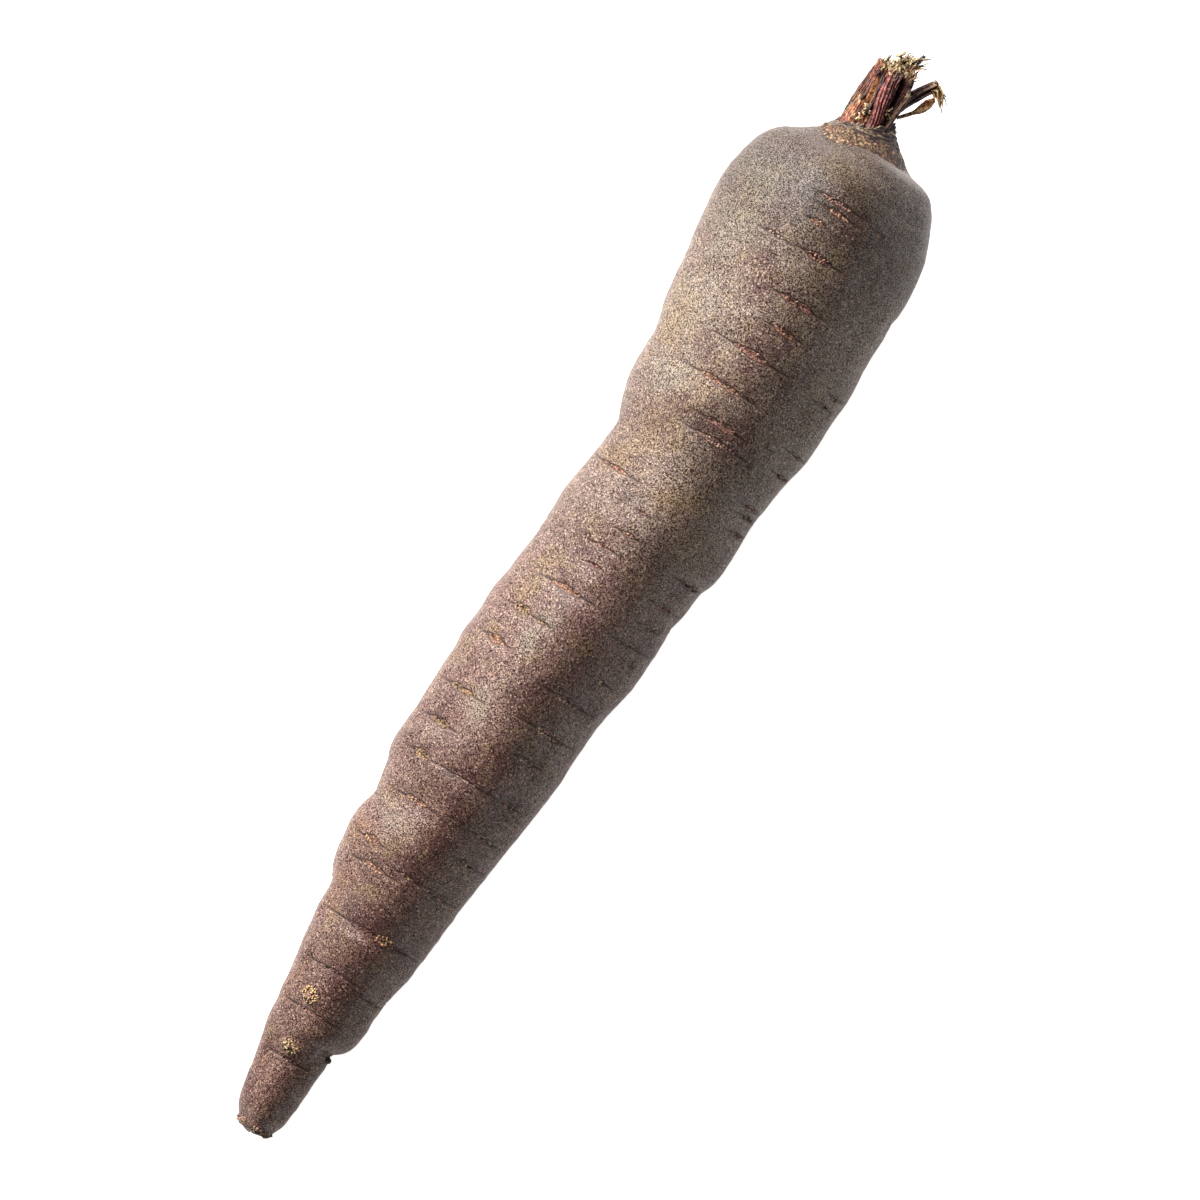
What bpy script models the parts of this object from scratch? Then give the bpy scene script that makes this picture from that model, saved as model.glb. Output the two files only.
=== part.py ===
"""A black carrot, as pulled and trimmed, lying on its side.

The root is one grown body: a tapered, slightly crooked taproot with square shoulders, pinched across
by the creases of its side-root scars, and snapped off blunt at the tip. Round its crown sits a scaly
collar of old leaf bases, and in the collar stands a bundle of cut leaf stalks with frayed ends.

+X runs from the tip to the crown, +Y is the far flank and +Z is up. The origin is on the surface that
the carrot lies on, under the middle of its box. Sizes are in millimetres until a point is placed.
"""

import math
import random
from typing import NamedTuple

import bmesh
import bpy
from mathutils import Vector

MM = 0.001
SEED = 2469

# Where the tip stands in the part's frame, so that the origin is under the middle of the box.
TIP_X = -125.35
AXIS_Y = -0.36

# The root seen from above: distance from the tip, then the far and the near flank from the axis.
FAR, NEAR = 1, 2
FLANKS = (
    (0.0, 6.0, 2.4),
    (2.0, 7.2, 3.2),
    (6.0, 8.2, 3.6),
    (12.0, 9.2, 4.0),
    (18.0, 10.5, 4.7),
    (20.0, 10.8, 5.7),
    (22.0, 11.0, 7.0),
    (27.0, 11.8, 7.5),
    (31.0, 12.4, 7.4),
    (36.0, 13.4, 8.1),
    (42.0, 14.1, 9.2),
    (49.0, 14.8, 9.8),
    (52.0, 16.0, 10.1),
    (56.0, 16.9, 10.4),
    (63.0, 17.8, 11.1),
    (70.0, 17.3, 11.7),
    (75.0, 17.9, 12.3),
    (80.0, 19.2, 12.9),
    (88.0, 18.6, 13.7),
    (104.0, 18.9, 14.5),
    (112.0, 18.3, 16.0),
    (122.0, 17.8, 16.8),
    (130.0, 16.8, 17.2),
    (137.0, 16.6, 17.9),
    (141.0, 16.6, 19.1),
    (148.0, 15.6, 19.5),
    (153.0, 15.1, 19.4),
    (158.0, 15.0, 19.8),
    (163.0, 16.5, 20.4),
    (169.0, 17.7, 21.4),
    (178.0, 18.4, 21.8),
    (186.0, 19.9, 22.2),
    (193.0, 20.6, 21.6),
    (201.0, 21.9, 21.6),
    (211.0, 22.9, 21.7),
    (216.0, 22.3, 21.0),
    (220.0, 21.2, 19.8),
    (223.0, 19.6, 18.6),
    (225.5, 17.1, 17.3),
    (227.5, 14.2, 15.6),
    (229.0, 12.3, 13.4),
)

# The height of the root's axis. It lies on its underside, with the thin end lifted a little.
AXIS_HEIGHTS = (
    (0.0, 6.3),
    (30.0, 10.3),
    (60.0, 13.8),
    (90.0, 15.9),
    (120.0, 16.8),
    (150.0, 18.0),
    (180.0, 20.0),
    (205.0, 21.5),
    (240.0, 22.2),
)

# A carrot bears its side roots in four rows, and is a little flat between them.
FLAT_SIDES = 0.045
ROW_TURN = -3


class Crease(NamedTuple):
    """A crease across the skin. Angles are in degrees round the root: 0 is the top, 90 the far flank."""

    at: float
    middle: float
    sweep: float
    depth: float


class Patch(NamedTuple):
    """A round patch on the skin, with its middle and its reach."""

    at: float
    middle: float
    reach: float


CREASES = (
    Crease(14.3, 7, 42, 0.60),
    Crease(19.4, -85, 50, 0.75),
    Crease(34.6, 14, 42, 0.60),
    Crease(45.0, -12, 68, 0.90),
    Crease(50.4, 96, 48, 0.70),
    Crease(57.6, 8, 62, 0.50),
    Crease(66.9, -62, 32, 0.45),
    Crease(69.5, 92, 40, 0.50),
    Crease(72.5, 8, 56, 0.65),
    Crease(81.2, -2, 64, 0.65),
    Crease(90.0, 14, 62, 0.60),
    Crease(96.8, 4, 66, 0.50),
    Crease(105.2, -28, 38, 0.60),
    Crease(108.0, 52, 30, 0.45),
    Crease(116.0, 38, 32, 0.40),
    Crease(124.0, 18, 34, 0.50),
    Crease(137.6, -62, 36, 0.55),
    Crease(150.0, 52, 44, 0.60),
    Crease(158.0, 100, 40, 0.50),
    Crease(165.0, -30, 60, 0.45),
    Crease(176.0, 12, 34, 0.35),
    Crease(183.0, -4, 40, 0.40),
    Crease(196.6, -10, 30, 0.40),
    Crease(206.4, -22, 34, 0.40),
    Crease(216.2, -2, 26, 0.35),
)
CREASE_LINE = 0.55
CREASE_PINCH = 2.4
LINE_SHARE = 0.55

# Side roots leave a taproot in four rows. The turned-down side is creased along its own two rows, level
# with the creases above.
UNDER_ROWS = (135, 225)
UNDER_STRAY = 14
UNDER_SWEEPS = (24, 40)
UNDER_DEPTHS = (0.35, 0.65)

# Corky scars where side roots broke off.
SCARS = (Patch(28.0, 24, 2.2), Patch(16.8, 9, 1.9), Patch(44.9, -18, 2.3))
SCAR_RISE = 0.25
# A rootlet's stump, in the notch on the near flank.
STUMP = Patch(18.2, -78, 0.9)
STUMP_RISE = 1.1

ROOT_COLUMNS = 42
CREASE_RING = 0.85
LEAST_RING_GAP = 0.7
MOST_RING_GAP = 4.5
SHOULDER = 214.0
TIP_DOME = 1.8
CROWN_FACE = 230.2

# The neck leans to the far side, so the collar's rings move over as they narrow. A ring has its
# distance from the tip, its middle and its radius, and its share of the rim's slant.
NECK_Z = 22.1
BUNDLE_Y = 4.4
COLLAR_RINGS = (
    (231.0, 2.0, 0.0, 0.0),
    (230.9, 2.0, 6.0, 0.0),
    (230.6, 2.0, 9.0, 0.0),
    (230.5, 1.9, 9.9, 0.0),
    (231.0, 2.0, 9.7, 0.1),
    (231.4, 2.2, 8.8, 0.2),
    (231.9, 2.3, 8.6, 0.3),
    (232.3, 2.5, 7.9, 0.4),
    (232.8, 2.7, 7.7, 0.5),
    (233.3, 3.1, 7.1, 0.7),
    (233.8, 3.4, 6.9, 0.8),
    (234.3, 3.8, 6.5, 0.9),
    (234.9, 4.1, 6.3, 1.0),
    (235.4, 4.3, 6.1, 1.0),
    (235.6, 4.4, 5.8, 1.0),
    (235.2, 4.4, 5.5, 1.0),
    (233.6, 4.4, 5.4, 0.6),
    (232.8, 4.4, 4.8, 0.0),
    (232.7, 4.4, 0.0, 0.0),
)
COLLAR_COLUMNS = 40
RIM_SLANT = 0.32
RIM_WAVE = 0.35
SCALY_RADII = (5.7, 9.8)
SCALE_WAVE = 0.2


class RingStalk(NamedTuple):
    """A stalk in the ring about the bundle's axis: its turn and half spread at foot and cut in degrees."""

    foot_turn: float
    cut_turn: float
    foot_spread: float
    cut_spread: float
    inner: float
    outer: float
    cut: float
    fibres: int


class FreeStalk(NamedTuple):
    """A stem that runs free of the ring: points along its middle with the radius at each."""

    points: tuple
    ribs: int
    fibres: int


RING_STALKS = {
    "stalk_far": RingStalk(52, 64, 32, 12, 1.9, 4.95, 247.2, 5),
    "stalk_open": RingStalk(5, 38, 10, 8, 2.2, 4.7, 246.4, 0),
    "stalk_middle": RingStalk(-31, -2, 21, 20, 2.0, 5.0, 246.8, 9),
    "stalk_near": RingStalk(-70, -43, 13, 12, 2.0, 4.7, 246.0, 6),
    "stalk_under_near": RingStalk(-160, -158, 23, 19, 1.9, 4.8, 244.6, 6),
    "stalk_under_far": RingStalk(149, 148, 22, 18, 1.9, 4.9, 245.4, 7),
    "stalk_side": RingStalk(106, 107, 15, 12, 2.0, 5.0, 245.9, 6),
}
STALK_FOOT = 233.1
STALK_COLUMNS = 20
STALK_RIBS = 5
STALK_STEPS = 5
RIB_RISE = 0.16
CUT_THIN = 0.88
SECTION_FULL = 0.75
OPEN_DEPTH = 2.6
OPEN_WALL = 0.62

FREE_STALKS = {
    "stalk_heart": FreeStalk(
        (
            (233.1, 4.4, 22.1, 1.1),
            (239.0, 4.4, 22.1, 1.4),
            (245.0, 4.3, 22.1, 1.4),
            (249.4, 3.0, 22.9, 1.0),
        ),
        ribs=7,
        fibres=8,
    ),
    "stalk_bent": FreeStalk(
        (
            (233.1, 1.1, 20.7, 0.8),
            (237.0, 0.9, 20.6, 1.0),
            (240.5, -0.4, 20.4, 1.3),
            (244.5, -1.9, 20.6, 1.45),
            (248.9, -3.7, 20.9, 1.3),
        ),
        ribs=7,
        fibres=10,
    ),
    "stalk_thin": FreeStalk(
        (
            (237.0, -0.1, 26.0, 0.5),
            (239.5, -0.1, 25.9, 0.75),
            (242.0, -0.2, 25.6, 0.75),
            (245.0, -0.5, 25.3, 0.6),
        ),
        ribs=5,
        fibres=3,
    ),
    "leaf_shred": FreeStalk(
        (
            (237.6, -1.3, 21.6, 0.35),
            (239.6, -2.0, 20.2, 0.35),
            (241.6, -3.3, 19.3, 0.4),
            (244.2, -4.4, 19.0, 0.85),
            (246.2, -5.2, 18.9, 0.35),
        ),
        ribs=3,
        fibres=0,
    ),
}
FREE_RIB_RISE = 0.11
CUT_SPREAD = 1.2
FIBRE_RADIUS = 0.34
FIBRE_LENGTHS = (1.6, 3.4)
FIBRE_SUNK = 1.1
FIBRE_DROOP = {"stalk_bent": Vector((-0.35, -1.0, -0.35))}

COLOURS = {
    "root": (0.20, 0.13, 0.12),
    "crown_collar": (0.22, 0.13, 0.07),
    "stalk_far": (0.36, 0.10, 0.05),
    "stalk_open": (0.40, 0.15, 0.06),
    "stalk_middle": (0.27, 0.06, 0.06),
    "stalk_near": (0.16, 0.04, 0.04),
    "stalk_under_near": (0.18, 0.05, 0.04),
    "stalk_under_far": (0.26, 0.07, 0.05),
    "stalk_side": (0.30, 0.09, 0.05),
    "stalk_heart": (0.45, 0.33, 0.16),
    "stalk_bent": (0.16, 0.06, 0.05),
    "stalk_thin": (0.30, 0.19, 0.10),
    "leaf_shred": (0.34, 0.15, 0.06),
}
SKIN_ROUGHNESS = 0.75


def clear_scene():
    for obj in list(bpy.data.objects):
        bpy.data.objects.remove(obj, do_unlink=True)


def new_collection(name):
    collection = bpy.data.collections.new(name)
    bpy.context.scene.collection.children.link(collection)
    return collection


def flowing(stations, at, column):
    """The value of one column of the stations at a distance, on a smooth curve through them."""
    count = len(stations)
    index = 0
    while index < count - 2 and at > stations[index + 1][0]:
        index += 1
    low, high = stations[index], stations[index + 1]
    span = high[0] - low[0]

    def slope(i):
        before, after = stations[max(i - 1, 0)], stations[min(i + 1, count - 1)]
        return (after[column] - before[column]) / (after[0] - before[0])

    t = min(max((at - low[0]) / span, 0.0), 1.0)
    blend = t * t * (3 - 2 * t)
    rise = t * (1 - t) * span * (slope(index) * (1 - t) - slope(index + 1) * t)
    return low[column] + (high[column] - low[column]) * blend + rise


def turn_between(angle, middle):
    """The shorter way round from middle to angle, in degrees."""
    return (angle - middle + 180) % 360 - 180


def under_creases():
    """The creases of the two rows that the carrot lies on."""
    draw = random.Random(SEED)
    creases = []
    for above in CREASES:
        middle = draw.choice(UNDER_ROWS) + draw.uniform(-UNDER_STRAY, UNDER_STRAY)
        creases.append(Crease(above.at, middle, draw.uniform(*UNDER_SWEEPS), draw.uniform(*UNDER_DEPTHS)))
    return creases


def crease_depth(creases, along, angle):
    """How far the creases draw the skin in: a fine line with a wide, shallow pinch on both sides."""
    depth = 0.0
    for crease in creases:
        off = along - crease.at
        reach = 1 - (turn_between(angle, crease.middle) / crease.sweep) ** 2
        if reach > 0:
            line = math.exp(-((off / CREASE_LINE) ** 2))
            pinch = math.exp(-((off / CREASE_PINCH) ** 2))
            depth += crease.depth * math.sqrt(reach) * (LINE_SHARE * line + (1 - LINE_SHARE) * pinch)
    return depth


def patch_rise(patch, along, angle, radius):
    """How high a round patch stands at a place on the skin, from 0 at its edge to 1."""
    across = math.radians(turn_between(angle, patch.middle)) * radius
    off = math.hypot(along - patch.at, across) / patch.reach
    return max(0.0, 1 - off * off)


def root_point(creases, along, share, angle):
    """A point of the root's skin. share is 1 on the flank, and less on the tip's and crown's faces."""
    far, near = flowing(FLANKS, along, FAR), flowing(FLANKS, along, NEAR)
    radius = (far + near) / 2
    radius *= 1 - FLAT_SIDES * (1 - math.cos(4 * math.radians(angle - ROW_TURN)))
    skin = radius - crease_depth(creases, along, angle)
    skin += sum(SCAR_RISE * patch_rise(scar, along, angle, radius) for scar in SCARS)
    skin += STUMP_RISE * patch_rise(STUMP, along, angle, radius)
    turn = math.radians(angle)
    across = (far - near) / 2 + skin * share * math.sin(turn)
    up = flowing(AXIS_HEIGHTS, along, 1) + skin * share * math.cos(turn)
    return across, up


def root_rings():
    """Places of the rings along the flank: three at each crease, and fillers where those leave a gap."""
    first, last = FLANKS[0][0], FLANKS[-1][0]
    wanted = [place for place, *_ in FLANKS if place > SHOULDER]
    wanted += [at + side * CREASE_RING for at, *_ in CREASES for side in (-1, 0, 1)]
    wanted += [at for at, *_ in SCARS]
    rings = [first]
    for place in [*sorted(wanted), last]:
        gap = place - rings[-1]
        if gap > LEAST_RING_GAP:
            steps = math.ceil(gap / MOST_RING_GAP)
            rings += [rings[-1] + gap * (i + 1) / steps for i in range(steps)]
    return rings


def grown_body(name, columns, rings, place):
    """A closed mesh shaped from a sphere: its poles and rings go where place(ring, angle) says."""
    last = len(rings) - 1
    bm = bmesh.new()
    bmesh.ops.create_uvsphere(bm, u_segments=columns, v_segments=last, radius=1.0)
    for vert in bm.verts:
        row = round(math.acos(max(-1.0, min(1.0, vert.co.z))) / math.pi * last)
        angle = math.degrees(math.atan2(vert.co.y, vert.co.x))
        x, y, z = place(rings[last - row], angle)
        vert.co = Vector(((TIP_X + x) * MM, (AXIS_Y + y) * MM, max(z, 0.0) * MM))
    if bm.calc_volume(signed=True) < 0:
        bmesh.ops.reverse_faces(bm, faces=bm.faces)
    mesh = bpy.data.meshes.new(name)
    bm.to_mesh(mesh)
    bm.free()
    return bpy.data.objects.new(name, mesh)


def finish(obj, collection):
    """Links a body, gives it its own material, and shades it smooth."""
    colour = COLOURS[obj.name]
    material = bpy.data.materials.new(obj.name + "_skin")
    material.use_nodes = True
    shader = material.node_tree.nodes["Principled BSDF"]
    shader.inputs["Base Color"].default_value = (*colour, 1.0)
    shader.inputs["Roughness"].default_value = SKIN_ROUGHNESS
    shader.inputs["Metallic"].default_value = 0.0
    obj.data.materials.append(material)
    obj.data.shade_smooth()
    obj.data.set_sharp_from_angle(angle=math.radians(50))
    collection.objects.link(obj)


def build_root(collection):
    creases = [*CREASES, *under_creases()]
    tip, crown = FLANKS[0][0], FLANKS[-1][0]
    flank = [(along, along, 1.0) for along in root_rings()]
    tip_face = [
        (tip - TIP_DOME, tip, 0.0),
        (tip - 0.9 * TIP_DOME, tip, 0.4),
        (tip - 0.45 * TIP_DOME, tip, 0.82),
    ]
    rise = CROWN_FACE - crown
    crown_face = [(crown + 0.6 * rise, crown, 0.88), (crown + rise, crown, 0.7), (crown + rise, crown, 0.0)]

    def place(ring, angle):
        along, station, share = ring
        across, up = root_point(creases, station, share, angle)
        return along, across, up

    finish(grown_body("root", ROOT_COLUMNS, tip_face + flank + crown_face, place), collection)


def build_collar(collection):
    def place(ring, angle):
        along, middle, radius, slant = ring
        turn = math.radians(angle)
        if SCALY_RADII[0] < radius < SCALY_RADII[1]:
            radius += SCALE_WAVE * math.sin(9 * turn + 2 * along)
        across = middle + radius * math.sin(turn)
        along -= slant * RIM_SLANT * (across - BUNDLE_Y)
        if slant == 1.0:
            along += RIM_WAVE * math.sin(7 * turn) * math.cos(3 * turn)
        return along, across, NECK_Z + radius * math.cos(turn)

    finish(grown_body("crown_collar", COLLAR_COLUMNS, COLLAR_RINGS, place), collection)


def ribbed(angle, ribs):
    """The height of ribs round a section, from -1 to 1."""
    return math.cos(ribs * math.radians(angle))


def fuller(value):
    """A sine or cosine drawn towards 1 and -1, which squares a round section up."""
    return math.copysign(abs(value) ** SECTION_FULL, value)


def stalk_rings(hollow=0.0):
    """Rings of a stalk as its share of the length and of the section. A hollow cut goes back in."""
    rings = [(0.0, 0.0), (0.0, 0.7), (0.04, 1.0)]
    rings += [(step / STALK_STEPS, 1.0) for step in range(1, STALK_STEPS)]
    rings += [(0.97, 1.0)]
    if hollow:
        return [*rings, (1.0, 0.85), (0.98, OPEN_WALL), (1 - hollow, 0.8 * OPEN_WALL), (1 - hollow, 0.0)]
    return [*rings, (1.0, 0.75), (1.0, 0.0)]


def ring_stalk(name):
    """A stalk that hugs the bundle's axis, ribbed outside, with its cut end and course."""
    stalk = RING_STALKS[name]
    middle, half = (stalk.inner + stalk.outer) / 2, (stalk.outer - stalk.inner) / 2
    span = stalk.cut - STALK_FOOT

    def place(ring, angle):
        share, size = ring
        turn = math.radians(angle)
        rise, side = fuller(math.cos(turn)), fuller(math.sin(turn))
        thick = size * half * (1 - (1 - CUT_THIN) * share * share)
        out = middle + thick * rise + size * RIB_RISE * ribbed(angle, STALK_RIBS) * max(rise, 0)
        spread = stalk.foot_spread + (stalk.cut_spread - stalk.foot_spread) * share
        lean = stalk.foot_turn + (stalk.cut_turn - stalk.foot_turn) * share
        at = math.radians(lean + size * spread * side)
        return STALK_FOOT + span * share, BUNDLE_Y + out * math.sin(at), NECK_Z + out * math.cos(at)

    rings = stalk_rings(OPEN_DEPTH / span if name == "stalk_open" else 0.0)
    end = Vector(place((1.0, 0.0), 0.0))
    return grown_body(name, STALK_COLUMNS, rings, place), end, Vector((1.0, 0.0, 0.0))


def free_stalk(name):
    """A stalk that follows its own line, with ribs along it, with its cut end and course."""
    points, ribs, _ = FREE_STALKS[name]
    steps = len(points) - 1
    stations = [(i / steps, *point) for i, point in enumerate(points)]

    def middle_at(share):
        return Vector([flowing(stations, share, column) for column in (1, 2, 3)])

    def place(ring, angle):
        share, size = ring
        ahead, behind = middle_at(min(share + 0.02, 1.0)), middle_at(max(share - 0.02, 0.0))
        forward = (ahead - behind).normalized()
        side = forward.cross(Vector((0, 0, 1))).normalized()
        up = side.cross(forward)
        radius = size * flowing(stations, share, 4) * (1 + FREE_RIB_RISE * ribbed(angle, ribs))
        turn = math.radians(angle)
        return tuple(middle_at(share) + side * radius * math.sin(turn) + up * radius * math.cos(turn))

    end, before = middle_at(1.0), middle_at(0.94)
    return grown_body(name, 4 * ribs, stalk_rings(), place), end, (end - before).normalized()


def fibre(name, root, tip, bend):
    """A torn vessel strand: a thin three-sided needle, bent on its way from root to tip."""
    rings = [(0.0, 0.0), (0.0, 1.0), (0.5, 0.85), (1.0, 0.55), (1.0, 0.0)]
    forward = (tip - root).normalized()
    side = forward.orthogonal().normalized()
    up = side.cross(forward)

    def place(ring, angle):
        share, size = ring
        turn = math.radians(angle)
        middle = root.lerp(tip, share) + bend * share * share
        return tuple(middle + (side * math.sin(turn) + up * math.cos(turn)) * FIBRE_RADIUS * size)

    return grown_body(name, 3, rings, place)


def fray(obj, end, forward, count, spread):
    """Joins torn strands to a stalk's cut end, with their roots sunk in the stalk."""
    draw = random.Random(SEED + len(obj.name) * count)
    strands = bpy.data.collections.new(obj.name + "_strands")
    side = forward.cross(Vector((0, 0, 1))).normalized()
    up = side.cross(forward)
    droop = FIBRE_DROOP.get(obj.name, Vector((0, 0, 0)))
    for i in range(count):
        turn = 2 * math.pi * i / count
        off = side * math.sin(turn) + up * math.cos(turn)
        root = end - forward * FIBRE_SUNK + off * spread * draw.uniform(0.45, 0.6)
        length = draw.uniform(*FIBRE_LENGTHS)
        tip = end + forward * length + off * spread * draw.uniform(0.5, 0.9)
        strands.objects.link(fibre(f"{obj.name}_strand_{i}", root, tip, droop * length))
    join = obj.modifiers.new("strands", "BOOLEAN")
    join.operand_type = "COLLECTION"
    join.collection = strands
    join.operation = "UNION"
    join.solver = "EXACT"
    bpy.context.view_layer.update()
    joined = bpy.data.meshes.new_from_object(obj.evaluated_get(bpy.context.evaluated_depsgraph_get()))
    obj.modifiers.clear()
    obj.data = joined
    for strand in list(strands.objects):
        bpy.data.objects.remove(strand, do_unlink=True)
    bpy.data.collections.remove(strands)


def build_stalks(collection):
    for name, stalk in RING_STALKS.items():
        obj, end, forward = ring_stalk(name)
        finish(obj, collection)
        if stalk.fibres:
            fray(obj, end, forward, stalk.fibres, CUT_SPREAD)
    for name, stalk in FREE_STALKS.items():
        obj, end, forward = free_stalk(name)
        finish(obj, collection)
        if stalk.fibres:
            fray(obj, end, forward, stalk.fibres, stalk.points[-1][-1])


def main():
    clear_scene()
    collection = new_collection("black_carrot")
    build_root(collection)
    build_collar(collection)
    build_stalks(collection)


main()
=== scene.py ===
import math
import random
from typing import NamedTuple

import bpy
import numpy as np
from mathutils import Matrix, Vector


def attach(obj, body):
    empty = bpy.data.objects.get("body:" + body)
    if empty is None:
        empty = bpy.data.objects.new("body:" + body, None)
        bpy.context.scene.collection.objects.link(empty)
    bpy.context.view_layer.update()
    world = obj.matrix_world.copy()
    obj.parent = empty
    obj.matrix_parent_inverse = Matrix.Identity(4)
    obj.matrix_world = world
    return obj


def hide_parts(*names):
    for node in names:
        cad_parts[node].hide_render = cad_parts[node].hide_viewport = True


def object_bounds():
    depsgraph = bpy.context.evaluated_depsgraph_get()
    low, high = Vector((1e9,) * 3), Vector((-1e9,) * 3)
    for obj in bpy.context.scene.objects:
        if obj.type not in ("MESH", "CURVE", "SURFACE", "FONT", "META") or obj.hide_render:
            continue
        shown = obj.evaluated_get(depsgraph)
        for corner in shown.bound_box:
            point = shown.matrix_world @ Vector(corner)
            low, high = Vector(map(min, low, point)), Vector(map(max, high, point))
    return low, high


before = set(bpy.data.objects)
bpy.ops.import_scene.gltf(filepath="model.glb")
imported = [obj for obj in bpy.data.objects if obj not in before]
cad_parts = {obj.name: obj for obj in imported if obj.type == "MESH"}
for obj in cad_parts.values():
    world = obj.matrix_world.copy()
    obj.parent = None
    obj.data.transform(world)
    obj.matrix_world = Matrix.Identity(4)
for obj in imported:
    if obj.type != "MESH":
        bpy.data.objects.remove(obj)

cad_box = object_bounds()
bpy.ops.object.select_all(action="DESELECT")


# The root's flesh and skin. It is one grown body, thick at the shoulder and crooked towards the snapped
# tip, with a dusty skin that has torn open across the root wherever a side root once stood.
MM = 0.001
TIP_X = -125.35
AXIS_Y = -0.36
# A carrot bears its side roots in four rows, and is a little flat between them.
FLAT_SIDES = 0.045
ROW_TURN = -3

# Distance from the tip, then the far and the near flank from the axis, seen from above.
FLANKS = np.array((
    (0.0, 6.0, 2.4), (2.0, 7.2, 3.2), (6.0, 8.2, 3.6), (12.0, 9.2, 4.0), (18.0, 10.5, 4.7),
    (19.2, 10.7, 4.8), (20.4, 10.9, 6.1), (21.6, 11.0, 6.8), (24.0, 11.2, 7.3), (27.0, 11.8, 7.5),
    (30.0, 12.2, 7.35), (36.0, 13.4, 8.1), (42.0, 14.1, 9.2), (49.0, 14.8, 9.8), (52.0, 16.0, 10.1),
    (56.0, 16.9, 10.4), (63.0, 17.8, 11.1), (70.0, 17.3, 11.7), (76.0, 18.1, 12.4), (80.0, 19.2, 12.9),
    (88.0, 18.6, 13.7), (96.0, 18.9, 14.1), (104.0, 18.9, 14.5), (110.0, 18.4, 15.5),
    (116.0, 18.2, 16.4), (124.0, 17.6, 16.9), (130.0, 16.8, 17.2), (137.0, 16.6, 17.9),
    (141.0, 16.6, 19.1), (148.0, 15.6, 19.5), (153.0, 15.1, 19.4), (158.0, 15.0, 19.8),
    (163.0, 16.5, 20.4), (169.0, 17.7, 21.4), (175.0, 18.2, 21.8), (180.0, 18.8, 21.8),
    (186.0, 19.9, 22.2), (193.0, 20.6, 21.6), (200.0, 21.8, 21.6), (206.0, 22.5, 21.8),
    (211.0, 22.9, 21.7), (216.0, 22.3, 21.0), (220.0, 21.2, 19.8), (223.0, 19.7, 18.5),
    (225.0, 17.8, 17.6), (227.0, 14.3, 16.3), (228.5, 12.5, 14.9), (229.6, 10.5, 12.4), (230.2, 8.0, 9.5),
))
AXIS_HEIGHTS = np.array((
    (0.0, 6.3), (30.0, 10.3), (60.0, 13.8), (90.0, 15.9), (120.0, 16.8),
    (150.0, 18.0), (180.0, 20.0), (205.0, 21.5), (240.0, 22.2),
))


class Slit(NamedTuple):
    """A torn slit across the skin: its place, its middle in degrees from the top, its length and half
    width, how deep the flesh is drawn in along it, and the colour of its cork."""

    at: float
    middle: float
    length: float
    half_width: float
    pinch: float
    cork: tuple


# The tones of cork. Each crumb is drawn darker or paler than the cork of its slit.
DARK_CORK = (0.98, 0.65, 0.51)
TAN_CORK = (0.68, 0.45, 0.25)
ORANGE_CORK = (0.80, 0.44, 0.28)
RED_CORK = (0.74, 0.38, 0.29)
PINK_CORK = (0.80, 0.48, 0.38)
WINE_CORK = (0.46, 0.21, 0.17)

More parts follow.
